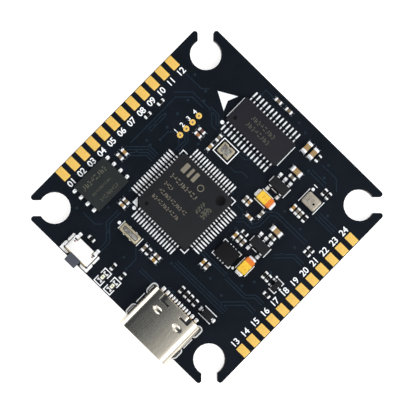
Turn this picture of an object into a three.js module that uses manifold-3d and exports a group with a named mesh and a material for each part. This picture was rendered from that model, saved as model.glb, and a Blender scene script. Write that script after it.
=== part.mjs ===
// Flight controller board for a small multirotor: a square circuit board with a grommet notch at each
// corner, and the parts soldered to its top face.
//
// Units are millimetres. The origin is the centre of the 30.5 mm mounting pattern, on the board's
// underside. +Z is up, +Y is the craft's forward direction and +X is its right-hand side. The USB
// receptacle and the side button are on the -X edge.
import * as THREE from "three";
import { mergeVertices } from "three/addons/utils/BufferGeometryUtils.js";
import Module from "manifold-3d";

const wasm = await Module();
wasm.setup();

// ---------------------------------------------------------------------------------------------------
// Driving dimensions

const BOARD_SIZE = 37.6; // both sides of the square
const TOP = 1.6; // board thickness, so also the height of its top face
const MOUNT_PITCH = 30.5; // centre to centre of the corner notches
const NOTCH_RADIUS = 2.25; // seat of a rubber grommet
const NOTCH_SLOT_WIDTH = 2.26; // mouth of a notch, cut along the diagonal
const TIP_RADIUS = 0.4; // round at the sharp tips beside each mouth
const SOLDER = 0.02; // film of solder under every part
const FIT = 0.03; // clearance between pieces that are moulded or pressed together

// Packages with gull-wing leads. Each row of leads is [side, lead offsets along that side], where side
// 0 faces +X, 1 faces +Y, 2 faces -X and 3 faces -Y.
const PROCESSOR = {
  name: "processor",
  centre: [-1.85, 2.85],
  body: [10, 10, 1.4],
  standoff: 0.1,
  draft: 0.14,
  rows: [0, 1, 2, 3].map((side) => [side, evenly(16, 0.5)]),
  lead: { width: 0.22, thickness: 0.13, shoulder: 0.3, bend: 0.2, reach: 1 },
};
const OVERLAY_CHIP = {
  name: "overlay_chip",
  centre: [12.8, 2.02],
  body: [4.4, 9.7, 1],
  standoff: 0.1,
  draft: 0.1,
  rows: [0, 2].map((side) => [side, evenly(14, 0.65)]),
  lead: { width: 0.25, thickness: 0.13, shoulder: 0.25, bend: 0.18, reach: 1 },
};
const REGULATOR_LEAD = { width: 0.4, thickness: 0.15, shoulder: 0.12, bend: 0.13, reach: 0.6 };
const REGULATOR = {
  body: [1.6, 2.9, 1.1],
  standoff: 0.05,
  draft: 0.1,
  rows: [
    [0, evenly(3, 0.95)],
    [2, evenly(2, 1.9)],
  ],
  lead: REGULATOR_LEAD,
};
const DIODE = {
  name: "diode",
  centre: [-10.95, -10.65],
  body: [1.25, 1.7, 0.95],
  standoff: 0.05,
  draft: 0.08,
  rows: [1, 3].map((side) => [side, [0]]),
  lead: { width: 0.32, thickness: 0.12, shoulder: 0.1, bend: 0.1, reach: 0.42 },
};
const TRANSISTOR = {
  name: "transistor",
  centre: [-1.25, -14.72],
  body: [1.6, 0.85, 0.75],
  standoff: 0.05,
  draft: 0.06,
  rows: [
    [1, evenly(2, 1)],
    [3, [0]],
  ],
  lead: { width: 0.25, thickness: 0.12, shoulder: 0.1, bend: 0.1, reach: 0.4 },
};

// Leadless packages, [name, colour, centre, size].
const FLASH = ["flash_memory", "moulding", [-8.28, 12.9], [6, 5, 0.75]];
const MOTION_SENSOR = ["motion_sensor", "moulding", [-2.85, -6.6], [2.5, 3, 0.83]];

const BAROMETER = { centre: [10.8, -10], size: [2, 2.5], base: 0.25, can: 0.7, vent: [-0.15, -0.48, 0.13] };
const CRYSTAL = { centre: [7.45, 3.63], size: [1.7, 2.1], base: 0.35, lid: 0.2, lidInset: 0.1 };
const RESONATOR = { centre: [-10.38, 5.12], size: [1.3, 3.2], base: 0.55, lid: 0.3, lidInset: 0.12 };

// Tantalum capacitors lie along X; turns counts quarter turns from there to the real direction.
const TANTALUM = { length: 2.3, width: 1.5, height: 1.5, tab: 0.3, tabWidth: 1.2, tabHeight: 0.8 };
const TANTALUMS = [
  { name: "tantalum_left", centre: [-2.25, -9.72], turns: 0 },
  { name: "tantalum_right", centre: [6.4, -5.1], turns: 3 },
];

const USB = {
  y: -6.9,
  front: -20.3,
  rear: -13.1,
  width: 8.94,
  height: 3.16,
  corner: 1.45,
  wall: 0.3,
  tongue: { width: 6.7, thickness: 0.7, front: -19.5, root: -15 },
  legs: { x: [-17.85, -13.75], width: 1, end: 0.5 },
  slot: { cross: [-1.1, -0.75, 1.1, 2.65], side: [-1.1, 0.5, 2.1, 2.65] }, // along X, then across
  tail: { end: -12.5, thickness: 0.15, offsets: [-3.2, -2.4, ...evenly(8, 0.5), 2.4, 3.2] },
};
const LEG_HOLE = { length: 1.5, width: 0.7 };

const SWITCH = {
  centre: [-17, 8.3],
  base: { front: -1.2, rear: 1.2, halfWidth: 1.96, height: 1.32 },
  cavity: { front: -0.75, rear: 0.85, halfWidth: 1.45, floor: 0.35 },
  plunger: { tip: -2.5, halfWidth: 0.95, flangeHalfWidth: 1.35, flange: 0.3, bottom: 0.42, top: 1.27 },
  travel: 0.25,
  dome: { halfWidth: 1.3, rise: 0.3, thickness: 0.06 },
  cover: {
    thickness: 0.12,
    front: -1.05,
    rear: 1.15,
    halfWidth: 2.1,
    foot: 0.42,
    legs: [
      [-1.04, -0.3],
      [-0.15, 1.14],
    ],
  },
  terminal: { y: [-1.72, 1.72], width: 0.5, length: 0.45, thickness: 0.16, height: 0.8 },
};

// Two-ended chip parts, [x, y, turns], where turns 0 lies along X and 1 lies along Y.
const SMALL_CHIP = [1, 0.5, 0.5];
const LARGE_CHIP = [1.6, 0.8, 0.8];
const INDICATOR = [1.6, 0.8, 0.55];
const SMALL_CAPACITORS = [
  [-8.3, 8.75, 1],
  [-7.55, 8.75, 1],
  [-3.65, 13.75, 1],
  [-2.75, 13.75, 1],
  [6.28, 8.05, 1],
  [7.05, 8.05, 1],
  [6.25, 5.65, 0],
  [8.05, 5.65, 0],
  [-10.75, 0.15, 1],
  [-10, 0.15, 1],
  [-10.4, 2.3, 0],
  [-6.05, -5.05, 0],
  [-6.05, -5.85, 0],
  [-0.15, -5.63, 0],
  [3.05, -5.25, 1],
  [4.5, -6.15, 0],
  [17.7, 3.25, 1],
  [17.75, 1.25, 1],
];
const LARGE_CAPACITORS = [
  [4.3, -9.45, 1],
  [12.35, -5.55, 1],
  [15.85, -4.22, 0],
  [15.85, -5.45, 0],
];
const INDICATORS = [
  [-17.45, 3.6, 0],
  [-17.45, 1.75, 0],
];

const CURVE_STEPS = 10; // quality of the round outlines

// ---------------------------------------------------------------------------------------------------
// Finishes

const FINISHES = {
  mask: { color: 0x1b2028, roughness: 0.4, metalness: 0 },
  moulding: { color: 0x333338, roughness: 0.7, metalness: 0 },
  tin: { color: 0xd9dadb, roughness: 0.3, metalness: 0.9 },
  steel: { color: 0xb9b4a8, roughness: 0.25, metalness: 1 },
  ceramic: { color: 0xb8996a, roughness: 0.6, metalness: 0 },
  tantalum: { color: 0xffd03c, roughness: 0.5, metalness: 0 },
  plastic: { color: 0x22242a, roughness: 0.6, metalness: 0 },
  plunger: { color: 0x595d68, roughness: 0.5, metalness: 0 },
  lens: { color: 0xf2ecc0, roughness: 0.3, metalness: 0 },
};
const materials = Object.fromEntries(
  Object.entries(FINISHES).map(([finish, values]) => [finish, new THREE.MeshStandardMaterial(values)]),
);

// ---------------------------------------------------------------------------------------------------
// Geometry helpers

// count offsets, pitch apart and centred on zero
function evenly(count, pitch) {
  return Array.from({ length: count }, (_, i) => (i - (count - 1) / 2) * pitch);
}

function solidOf(geometry) {
  const bare = geometry.clone();
  bare.deleteAttribute("normal");
  bare.deleteAttribute("uv");
  const merged = mergeVertices(bare, 1e-4);
  const vertProperties = merged.attributes.position.array;
  const triVerts = new Uint32Array(merged.index.array);
  return new wasm.Manifold(new wasm.Mesh({ numProp: 3, vertProperties, triVerts }));
}

function geometryOf(solid) {
  const { vertProperties, triVerts } = solid.getMesh();
  const geometry = new THREE.BufferGeometry();
  geometry.setAttribute("position", new THREE.BufferAttribute(vertProperties, 3));
  geometry.setIndex(new THREE.BufferAttribute(triVerts, 1));
  const flat = geometry.toNonIndexed();
  flat.computeVertexNormals();
  return flat;
}

function joined(...geometries) {
  return geometryOf(geometries.map(solidOf).reduce((all, one) => all.add(one)));
}

function cut(geometry, ...tools) {
  return geometryOf(tools.map(solidOf).reduce((left, tool) => left.subtract(tool), solidOf(geometry)));
}

function ordered(a, b) {
  return [Math.min(a, b), Math.max(a, b)];
}

// A box from its lowest corner to its highest corner
function boxBetween(low, high) {
  const size = high.map((value, axis) => value - low[axis]);
  const middle = high.map((value, axis) => (value + low[axis]) / 2);
  return new THREE.BoxGeometry(...size).translate(...middle);
}

// A box of the given size whose underside is centred on the origin
function standingBox([width, depth, height]) {
  return new THREE.BoxGeometry(width, depth, height).translate(0, 0, height / 2);
}

// A flat rectangular ring of the given thickness, whose underside is centred on the origin
function standingRing([width, depth, thickness], [innerWidth, innerDepth]) {
  const opening = standingBox([innerWidth, innerDepth, thickness + 1]).translate(0, 0, -0.5);
  return cut(standingBox([width, depth, thickness]), opening);
}

// A moulded block: widest at half height, drawn in by draft at its top and bottom faces
function mouldedBlock([width, depth, height], draft) {
  const geometry = new THREE.BoxGeometry(width, depth, height, 1, 1, 2);
  const points = geometry.attributes.position;
  for (let i = 0; i < points.count; i += 1) {
    const pull = (draft * Math.abs(points.getZ(i))) / (height / 2);
    points.setX(i, points.getX(i) - Math.sign(points.getX(i)) * pull);
    points.setY(i, points.getY(i) - Math.sign(points.getY(i)) * pull);
  }
  return geometry.translate(0, 0, height / 2);
}

// The outline of a rectangle with round corners, centred on the origin
function roundedRectangle(width, height, radius, Outline = THREE.Shape) {
  const x = width / 2 - radius;
  const y = height / 2 - radius;
  const outline = new Outline();
  outline.absarc(x, y, radius, 0, Math.PI / 2, false);
  outline.absarc(-x, y, radius, Math.PI / 2, Math.PI, false);
  outline.absarc(-x, -y, radius, Math.PI, 1.5 * Math.PI, false);
  outline.absarc(x, -y, radius, 1.5 * Math.PI, 2 * Math.PI, false);
  outline.closePath();
  return outline;
}

function extruded(shape, depth, curveSegments = CURVE_STEPS) {
  return new THREE.ExtrudeGeometry(shape, { depth, curveSegments, bevelEnabled: false });
}

// Turns an extrusion so that it runs along +X, with the outline's x along Y and its y along Z
function alongX(geometry) {
  const [x, y, z] = [new THREE.Vector3(1, 0, 0), new THREE.Vector3(0, 1, 0), new THREE.Vector3(0, 0, 1)];
  return geometry.applyMatrix4(new THREE.Matrix4().makeBasis(y, z, x));
}

const model = new THREE.Group();

// Adds one piece, standing on the board's top face plus the solder film
function place(name, finish, geometry, [x, y] = [0, 0], turns = 0, z = TOP + SOLDER) {
  const mesh = new THREE.Mesh(geometry, materials[finish]);
  mesh.name = name;
  mesh.position.set(x, y, z);
  mesh.rotation.z = (turns * Math.PI) / 2;
  model.add(mesh);
}

// ---------------------------------------------------------------------------------------------------
// Circuit board

// Adds one corner of the board to its outline: tip, mouth wall, grommet seat, mouth wall, tip. The
// corner at +X +Y is worked out first and turned about the origin.
function addCorner(outline, quarter) {
  const half = BOARD_SIZE / 2;
  const centre = MOUNT_PITCH / 2;
  const tipInset = NOTCH_SLOT_WIDTH / Math.SQRT2 + TIP_RADIUS * (1 + Math.SQRT2);
  const mouthAngle = Math.asin(NOTCH_SLOT_WIDTH / 2 / NOTCH_RADIUS);
  const turn = (quarter * Math.PI) / 2;
  const diagonal = Math.PI / 4;
  const arc = (x, y, radius, from, to, clockwise) =>
    outline.absarc(
      x * Math.cos(turn) - y * Math.sin(turn),
      x * Math.sin(turn) + y * Math.cos(turn),
      radius,
      from + turn,
      to + turn,
      clockwise,
    );
  arc(half - TIP_RADIUS, half - tipInset, TIP_RADIUS, 0, 3 * diagonal, false);
  arc(centre, centre, NOTCH_RADIUS, diagonal - mouthAngle, diagonal + mouthAngle, true);
  arc(half - tipInset, half - TIP_RADIUS, TIP_RADIUS, -diagonal, 2 * diagonal, false);
}

// The holes that the USB shell's four legs are soldered into
function legHoles() {
  const y = (USB.width - USB.wall) / 2;
  const hole = () =>
    extruded(roundedRectangle(LEG_HOLE.length, LEG_HOLE.width, LEG_HOLE.width / 2), TOP + 2, 4);
  return USB.legs.x.flatMap((x) => [-y, y].map((side) => hole().translate(x, USB.y + side, -1)));
}

function circuitBoard() {
  const outline = new THREE.Shape();
  [0, 1, 2, 3].forEach((quarter) => addCorner(outline, quarter));
  outline.closePath();
  return cut(extruded(outline, TOP), ...legHoles());
}

// ---------------------------------------------------------------------------------------------------
// Packages with a lead frame

const FRAME_DEPTH = 0.35; // how far the lead frame reaches into the moulding

// One gull-wing lead that leaves the moulding towards +X at the height exit
function gullWing(halfBody, exit, { width, thickness, shoulder, bend, reach }) {
  const knee = halfBody + shoulder;
  const heel = knee + bend;
  const tip = halfBody + reach;
  const outline = new THREE.Shape();
  outline.moveTo(halfBody - FRAME_DEPTH / 2, exit);
  outline.lineTo(knee - thickness / 2, exit);
  outline.lineTo(heel - thickness / 2, 0);
  outline.lineTo(tip, 0);
  outline.lineTo(tip, thickness);
  outline.lineTo(heel + thickness / 2, thickness);
  outline.lineTo(knee + thickness / 2, exit + thickness);
  outline.lineTo(halfBody - FRAME_DEPTH / 2, exit + thickness);
  outline.closePath();
  return extruded(outline, width).translate(0, 0, -width / 2).rotateX(Math.PI / 2);
}

// The moulding and its lead frame. A thin ring in a groove round the moulding holds the leads as one
// piece, as the frame does before it is trimmed.
function addLeadedPackage({ name, centre, body, standoff, draft, rows, lead }) {
  const [width, depth, height] = body;
  const middle = standoff + height / 2;
  const exit = middle - lead.thickness / 2;
  const inner = [width - 2 * FRAME_DEPTH, depth - 2 * FRAME_DEPTH];
  const gap = 2 * FIT;
  const groove = standingRing(
    [width + 1, depth + 1, lead.thickness + gap],
    inner.map((side) => side - gap),
  ).translate(0, 0, exit - FIT);
  const moulding = mouldedBlock(body, draft).translate(0, 0, standoff);
  place(`${name}_body`, "moulding", cut(moulding, groove), centre);

  const ring = standingRing([width - gap, depth - gap, lead.thickness], inner).translate(0, 0, exit);
  const leads = rows.flatMap(([side, offsets]) => {
    const halfBody = (side % 2 ? depth : width) / 2;
    return offsets.map((offset) =>
      gullWing(halfBody, exit, lead)
        .translate(0, offset, 0)
        .rotateZ((side * Math.PI) / 2),
    );
  });
  place(`${name}_leads`, "tin", joined(ring, ...leads), centre);
}

// ---------------------------------------------------------------------------------------------------
// Sensors, timing parts and chip parts

function addBlock([name, finish, centre, size]) {
  place(name, finish, standingBox(size), centre);
}

// A laminate base under a drawn can that is open below and has a vent hole in its roof
function addBarometer({ centre, size, base, can, vent }) {
  const [width, depth] = size;
  const wall = 0.12;
  const [ventX, ventY, ventRadius] = vent;
  place("barometer_base", "ceramic", standingBox([width, depth, base]), centre);
  const shell = extruded(roundedRectangle(width - 0.1, depth - 0.1, 0.25), can, 4);
  const room = extruded(roundedRectangle(width - 0.1 - 2 * wall, depth - 0.1 - 2 * wall, 0.15), can, 4);
  const hole = new THREE.CylinderGeometry(ventRadius, ventRadius, 2, 16).rotateX(Math.PI / 2);
  const lid = cut(shell, room.translate(0, 0, -wall), hole.translate(ventX, ventY, can));
  place("barometer_lid", "steel", lid, centre, 0, TOP + SOLDER + base + SOLDER);
}

// A ceramic base with a solder notch in the middle of each long side, under an inset lid
function addResonantPart(name, { centre, size, base, lid, lidInset }) {
  const [width, depth] = size;
  const notch = (x) => new THREE.CylinderGeometry(0.15, 0.15, 2, 12).rotateX(Math.PI / 2).translate(x, 0, 0);
  const block = standingBox([width, depth, base]);
  place(`${name}_base`, "ceramic", cut(block, notch(-width / 2), notch(width / 2)), centre);
  const plate = roundedRectangle(width - 2 * lidInset, depth - 2 * lidInset, 0.2);
  place(`${name}_lid`, "steel", extruded(plate, lid, 4), centre, 0, TOP + SOLDER + base + SOLDER);
}

// A moulded block with a bent metal terminal round each end
function addTantalum({ name, centre, turns }) {
  const { length, width, height, tab, tabWidth, tabHeight } = TANTALUM;
  place(`${name}_body`, "tantalum", mouldedBlock([length, width, height], 0.08), centre, turns);
  const end = length / 2 + FIT;
  const terminal = () => boxBetween([end, -tabWidth / 2, 0], [end + tab, tabWidth / 2, tabHeight]);
  place(`${name}_anode`, "tin", terminal(), centre, turns);
  place(`${name}_cathode`, "tin", terminal(), centre, turns + 2);
}

function addChipParts(name, finish, size, places) {
  places.forEach(([x, y, turns], i) => {
    const number = String(i + 1).padStart(2, "0");
    place(`${name}_${number}`, finish, standingBox(size), [x, y], turns);
  });
}

// ---------------------------------------------------------------------------------------------------
// USB receptacle, with its mouth towards -X

function addUsbReceptacle() {
  const { y, front, rear, width, height, corner, wall, tongue, legs, slot, tail } = USB;
  const centre = height / 2;
  const section = roundedRectangle(width, height, corner);
  section.holes.push(
    roundedRectangle(width - 2 * wall, height - 2 * wall, corner - wall, THREE.Path),
  );
  const tube = alongX(extruded(section, rear - front)).translate(front, 0, centre);
  const outer = width / 2;
  const legBottom = legs.end - TOP - SOLDER;
  const leg = (x, side) => {
    const [low, high] = ordered(side * outer, side * (outer - wall));
    return boxBetween([x - legs.width / 2, low, legBottom], [x + legs.width / 2, high, centre]);
  };
  const fourLegs = legs.x.flatMap((x) => [leg(x, -1), leg(x, 1)]);
  // two L-shaped slots in the roof free the springs that grip the plug
  const slotBox = (from, to, near, far) =>
    [-1, 1].map((side) => {
      const [low, high] = ordered(side * near, side * far);
      return boxBetween([rear + from, low, centre], [rear + to, high, height + 1]);
    });
  const springSlots = [...slotBox(...slot.cross), ...slotBox(...slot.side)];
  const shell = cut(joined(tube, ...fourLegs), ...springSlots);
  place("usb_shell", "steel", shell, [0, y]);

  const roomWidth = width - 2 * wall - 2 * FIT;
  const roomHeight = height - 2 * wall - 2 * FIT;
  const block = alongX(
    extruded(roundedRectangle(roomWidth, roomHeight, corner - wall - FIT), rear - tongue.root),
  ).translate(tongue.root, 0, centre);
  const blade = boxBetween(
    [tongue.front, -tongue.width / 2, centre - tongue.thickness / 2],
    [tongue.root + 0.1, tongue.width / 2, centre + tongue.thickness / 2],
  );
  place("usb_insulator", "plastic", joined(block, blade), [0, y]);

  const bar = boxBetween(
    [rear + FIT, tail.offsets[0] - 0.15, 0],
    [rear + FIT + tail.thickness, tail.offsets.at(-1) + 0.15, 1],
  );
  const tails = tail.offsets.map((offset) => {
    const half = Math.abs(offset) > 2 ? 0.25 : 0.14;
    return boxBetween([rear + FIT, offset - half, 0], [tail.end, offset + half, tail.thickness]);
  });
  place("usb_contacts", "tin", joined(bar, ...tails), [0, y]);
}

// ---------------------------------------------------------------------------------------------------
// Side button, with its plunger towards -X

function addSideSwitch() {
  const { centre, base, cavity, plunger, travel, dome, cover, terminal } = SWITCH;
  const body = boxBetween([base.front, -base.halfWidth, 0], [base.rear, base.halfWidth, base.height]);
  const room = boxBetween(
    [cavity.front, -cavity.halfWidth, cavity.floor],
    [cavity.rear, cavity.halfWidth, 2],
  );
  const doorHalfWidth = plunger.halfWidth + FIT;
  const door = boxBetween(
    [base.front - 1, -doorHalfWidth, cavity.floor],
    [cavity.front + 0.1, doorHalfWidth, 2],
  );
  place("switch_base", "plastic", cut(body, room, door), centre);

  // The plunger's flange stops on the inside of the front wall, and its nose pushes the dome.
  const stop = cavity.front + FIT;
  const domeTop = cavity.rear - FIT - dome.rise;
  const block = (from, to, halfWidth) =>
    boxBetween([from, -halfWidth, plunger.bottom], [to, halfWidth, plunger.top]);
  const stem = block(plunger.tip, stop + 0.1, plunger.halfWidth);
  const flange = block(stop, stop + plunger.flange, plunger.flangeHalfWidth);
  const nose = block(stop + 0.1, domeTop - FIT, 0.3);
  place("switch_plunger", "plunger", joined(stem, flange, nose), centre);
  if (domeTop - FIT - stop - plunger.flange < travel) {
    throw new RangeError("the flange would meet the dome before the end of its travel");
  }

  // The dome is a leaf bent to an arc, standing on edge against the cavity's rear wall.
  const radius = (dome.halfWidth ** 2 + dome.rise ** 2) / (2 * dome.rise);
  const sweep = Math.asin(dome.halfWidth / radius);
  const middle = domeTop + radius;
  const leaf = new THREE.Shape();
  leaf.absarc(middle, 0, radius, Math.PI - sweep, Math.PI + sweep, false);
  leaf.absarc(middle, 0, radius - dome.thickness, Math.PI + sweep, Math.PI - sweep, true);
  leaf.closePath();
  const leafHeight = plunger.top - plunger.bottom - 2 * FIT;
  const domeLeaf = extruded(leaf, leafHeight, 6).translate(0, 0, plunger.bottom + FIT);
  place("switch_dome", "steel", domeLeaf, centre);

  const roof = base.height + FIT;
  const plate = boxBetween(
    [cover.front, -cover.halfWidth, roof],
    [cover.rear, cover.halfWidth, roof + cover.thickness],
  );
  const legPairs = cover.legs.flatMap(([from, to]) =>
    [-1, 1].flatMap((side) => {
      const inside = side * (cover.halfWidth - cover.thickness);
      const [wallLow, wallHigh] = ordered(inside, side * cover.halfWidth);
      const [footLow, footHigh] = ordered(inside, side * (cover.halfWidth + cover.foot));
      return [
        boxBetween([from, wallLow, 0], [to, wallHigh, roof + cover.thickness]),
        boxBetween([from, footLow, 0], [to, footHigh, cover.thickness]),
      ];
    }),
  );
  place("switch_cover", "steel", joined(plate, ...legPairs), centre);

  terminal.y.forEach((y, i) => {
    const rear = base.rear + FIT;
    const [low, high] = [y - terminal.width / 2, y + terminal.width / 2];
    const upright = boxBetween([rear, low, 0], [rear + 0.12, high, terminal.height]);
    const foot = boxBetween([rear, low, 0], [rear + terminal.length, high, terminal.thickness]);
    place(`switch_terminal_${i + 1}`, "tin", joined(upright, foot), centre);
  });
}

// ---------------------------------------------------------------------------------------------------
// Assembly

place("circuit_board", "mask", circuitBoard(), [0, 0], 0, 0);
addLeadedPackage(PROCESSOR);
addLeadedPackage(OVERLAY_CHIP);
addLeadedPackage({ ...REGULATOR, name: "regulator_front", centre: [9.15, -5.2] });
addLeadedPackage({ ...REGULATOR, name: "regulator_rear", centre: [1.2, -9.1] });
addLeadedPackage(DIODE);
addLeadedPackage(TRANSISTOR);
addBlock(FLASH);
addBlock(MOTION_SENSOR);
addBarometer(BAROMETER);
addResonantPart("crystal", CRYSTAL);
addResonantPart("resonator", RESONATOR);
TANTALUMS.forEach(addTantalum);
addUsbReceptacle();
addSideSwitch();
addChipParts("indicator_light", "lens", INDICATOR, INDICATORS);
addChipParts("large_capacitor", "ceramic", LARGE_CHIP, LARGE_CAPACITORS);
addChipParts("small_capacitor", "ceramic", SMALL_CHIP, SMALL_CAPACITORS);

export default model;
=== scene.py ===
import math

import bmesh
import bpy
from mathutils import Matrix, Vector


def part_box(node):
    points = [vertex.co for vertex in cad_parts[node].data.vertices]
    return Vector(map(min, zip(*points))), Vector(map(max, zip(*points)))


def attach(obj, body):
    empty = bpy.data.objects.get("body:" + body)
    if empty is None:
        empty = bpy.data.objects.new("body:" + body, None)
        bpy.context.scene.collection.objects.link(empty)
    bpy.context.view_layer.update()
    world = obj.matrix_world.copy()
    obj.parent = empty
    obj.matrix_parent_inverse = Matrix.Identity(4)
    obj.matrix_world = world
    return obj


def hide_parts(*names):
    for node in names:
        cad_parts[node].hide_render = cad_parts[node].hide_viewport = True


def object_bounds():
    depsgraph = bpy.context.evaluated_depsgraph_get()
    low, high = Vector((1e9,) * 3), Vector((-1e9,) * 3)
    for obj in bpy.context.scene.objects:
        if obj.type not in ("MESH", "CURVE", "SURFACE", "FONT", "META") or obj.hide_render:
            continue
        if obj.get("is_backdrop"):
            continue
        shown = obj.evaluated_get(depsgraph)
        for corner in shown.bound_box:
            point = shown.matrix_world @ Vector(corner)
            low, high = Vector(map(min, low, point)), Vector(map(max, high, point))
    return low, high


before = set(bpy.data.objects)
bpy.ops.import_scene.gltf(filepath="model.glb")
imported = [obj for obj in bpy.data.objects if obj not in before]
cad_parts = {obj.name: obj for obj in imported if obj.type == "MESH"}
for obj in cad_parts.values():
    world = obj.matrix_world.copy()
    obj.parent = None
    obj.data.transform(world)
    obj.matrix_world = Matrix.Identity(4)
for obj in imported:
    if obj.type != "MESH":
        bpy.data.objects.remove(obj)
cad_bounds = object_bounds()

MM = 0.001
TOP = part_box("circuit_board")[1].z / MM  # height of the board's top face
SINK = 0.01  # how far flat details reach into the face that they lie on
MASK = 0.02  # height of a trace that shows through the solder mask
PRINT = 0.012  # height of the printed legend
PAD = 0.035  # height of a tinned or gilded pad
FLAT_PAD = [(-SINK, 0), (PAD, 0.02)]  # its profile, as (height, inset)


# ---------------------------------------------------------------------------------------------------
# Finishes


def linear(colour, gain=1.0):
    """A display colour, 0 to 255 in each channel, as scene-linear RGBA."""
    return [min(1, gain * (c / 255) ** 2.2) for c in colour] + [1]


class Finish:
    """A principled material whose colour, gloss and bump vary over the surface."""

    def __init__(self, name, metallic=0.0, specular=0.5, coat=0.0):
        self.material = bpy.data.materials.new(name)
        self.material.use_nodes = True
        self.nodes = self.material.node_tree.nodes
        self.links = self.material.node_tree.links
        self.shader = self.nodes["Principled BSDF"]
        self.set(self.shader, "Metallic", metallic)
        self.set(self.shader, "Specular IOR Level", specular)
        self.set(self.shader, "Coat Weight", coat)
        self.place = self.nodes.new("ShaderNodeTexCoord").outputs["Object"]

    def set(self, node, socket, value):
        """Links a socket to another one, or gives it a constant."""
        if isinstance(value, bpy.types.NodeSocket):
            self.links.new(value, node.inputs[socket])
        else:
            node.inputs[socket].default_value = value

    def noise(self, size, detail=3, stretch=(1, 1, 1)):
        """Noise with features of that size, in millimetres, drawn out along the axes by stretch."""
        mapping = self.nodes.new("ShaderNodeMapping")
        self.set(mapping, "Vector", self.place)
        self.set(mapping, "Scale", [1 / s for s in stretch])
        texture = self.nodes.new("ShaderNodeTexNoise")
        self.set(texture, "Vector", mapping.outputs["Vector"])
        self.set(texture, "Scale", 1 / (size * MM))
        self.set(texture, "Detail", detail)
        return texture.outputs["Fac"]

    def ramp(self, factor, *stops):
        """Colours along a factor, each stop a (place, RGBA)."""
        node = self.nodes.new("ShaderNodeValToRGB")
        self.set(node, "Fac", factor)
        elements = node.color_ramp.elements
        while len(elements) < len(stops):
            elements.new(1)
        for element, (position, colour) in zip(elements, stops):
            element.position = position
            element.color = colour
        return node.outputs["Color"]

    def span(self, factor, low, high, start=0.3, end=0.7):
        """The factor from start to end, mapped to low to high."""
        node = self.nodes.new("ShaderNodeMapRange")
        for socket, value in enumerate((factor, start, end, low, high)):
            self.set(node, socket, value)
        return node.outputs["Result"]

    def mix(self, factor, first, second):
        """Two colours, mixed by the factor."""
        node = self.nodes.new("ShaderNodeMix")
        node.data_type = "RGBA"
        for socket, value in ((0, factor), (6, first), (7, second)):
            self.set(node, socket, value)
        return node.outputs[2]

    def shade(self, colour, roughness):
        self.set(self.shader, "Base Color", colour)
        self.set(self.shader, "Roughness", roughness)

    def bump(self, height, depth):
        """Bumps of that depth, in millimetres, on the shader's normal."""
        node = self.nodes.new("ShaderNodeBump")
        self.set(node, "Distance", depth * MM)
        self.set(node, "Height", height)
        self.set(self.shader, "Normal", node.outputs["Normal"])


def surface(name, colour, roughness, metallic=0.0, mottle=0.12, size=0.5, grain=0.002, grain_size=0.06,
            specular=0.5, coat=0.0, stretch=(1, 1, 1)):
    """A plain finish with cloudy colour, uneven gloss and a fine grain. Sizes are in millimetres."""
    finish = Finish(name, metallic, specular, coat)
    cloud = finish.noise(size, 4, stretch)
    fine = finish.noise(grain_size, 2, stretch)
    tint = finish.ramp(cloud, (0.3, linear(colour, 1 - mottle)), (0.7, linear(colour, 1 + mottle)))
    finish.shade(tint, finish.span(fine, 0.8 * roughness, 1.2 * roughness))
    finish.bump(fine, grain)
    return finish.material


def moulded(name, colour):
    """Black moulding compound: pale filler specks in a matt, slightly sparkling skin."""
    finish = Finish(name, specular=0.16)
    cloud = finish.noise(1.6, 4)
    specks = finish.noise(0.09, 2)
    base = finish.ramp(cloud, (0.35, linear(colour, 0.92)), (0.65, linear(colour, 1.08)))
    speckled = finish.mix(finish.span(specks, 0, 0.5, 0.58, 0.72), base, linear(colour, 2.2))
    finish.shade(speckled, finish.span(specks, 0.52, 0.7))
    finish.bump(specks, 0.003)
    return finish.material


def board_finish():
    """Dark solder mask on the faces, and the brown laminate with its glass layers on the cut edges."""
    finish = Finish("solder_mask", specular=0.1)
    cloud = finish.noise(5, 5)
    orange_peel = finish.noise(0.35, 2)
    mask = finish.ramp(cloud, (0.3, linear((16, 22, 29))), (0.7, linear((23, 28, 36))))
    layers = finish.noise(0.09, 2, (14, 14, 1))
    strands = finish.noise(0.2, 3, (1, 1, 0.5))
    resin = finish.ramp(layers, (0.35, linear((42, 28, 16))), (0.65, linear((70, 48, 27))))
    laminate = finish.mix(finish.span(strands, 0, 0.4), resin, linear((84, 64, 38)))
    geometry = finish.nodes.new("ShaderNodeNewGeometry")
    split = finish.nodes.new("ShaderNodeSeparateXYZ")
    finish.set(split, "Vector", geometry.outputs["Normal"])
    upright = finish.nodes.new("ShaderNodeMath")
    upright.operation = "ABSOLUTE"
    finish.set(upright, 0, split.outputs["Z"])
    face = finish.span(upright.outputs[0], 0, 1, 0.45, 0.55)
    finish.shade(finish.mix(face, laminate, mask), finish.span(orange_peel, 0.36, 0.46))
    finish.bump(orange_peel, 0.0015)
    return finish.material


MASK_BOARD = board_finish()
MASK_COPPER = surface("mask_on_copper", (31, 42, 52), 0.36, mottle=0.15, size=0.8, specular=0.12)
GOLD = surface("gold_pad", (236, 193, 98), 0.42, metallic=0.3, mottle=0.06, size=0.25, grain=0.004)
LEGEND = surface("legend_ink", (244, 247, 250), 0.6, mottle=0.05, size=0.2, grain=0.003)
FAINT_LEGEND = surface("legend_faint", (138, 144, 150), 0.6, mottle=0.2, size=0.1, grain=0.0)
TIN = surface("tin_plate", (242, 244, 246), 0.32, metallic=0.35, mottle=0.05, size=0.2)
# Painted shade: a darker copy of the tin, put on the bends of leads and the cover's legs for their shadow
# and dark reflection.
PAINTED_BEND_SHADE = surface("tin_bend_painted_shade", (92, 94, 100), 0.25, metallic=1.0, mottle=0.1, size=0.2)
SOLDER = surface("solder", (238, 240, 242), 0.26, metallic=0.35, mottle=0.08, size=0.15, grain=0.004)
STEEL = surface("drawn_steel", (216, 209, 194), 0.2, metallic=1.0, mottle=0.08, size=0.3, grain=0.0012,
                grain_size=0.05, stretch=(5, 1, 1))
BRIGHT_STEEL = surface("bright_steel", (250, 250, 248), 0.4, metallic=0.25, mottle=0.04, size=0.4)
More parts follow.
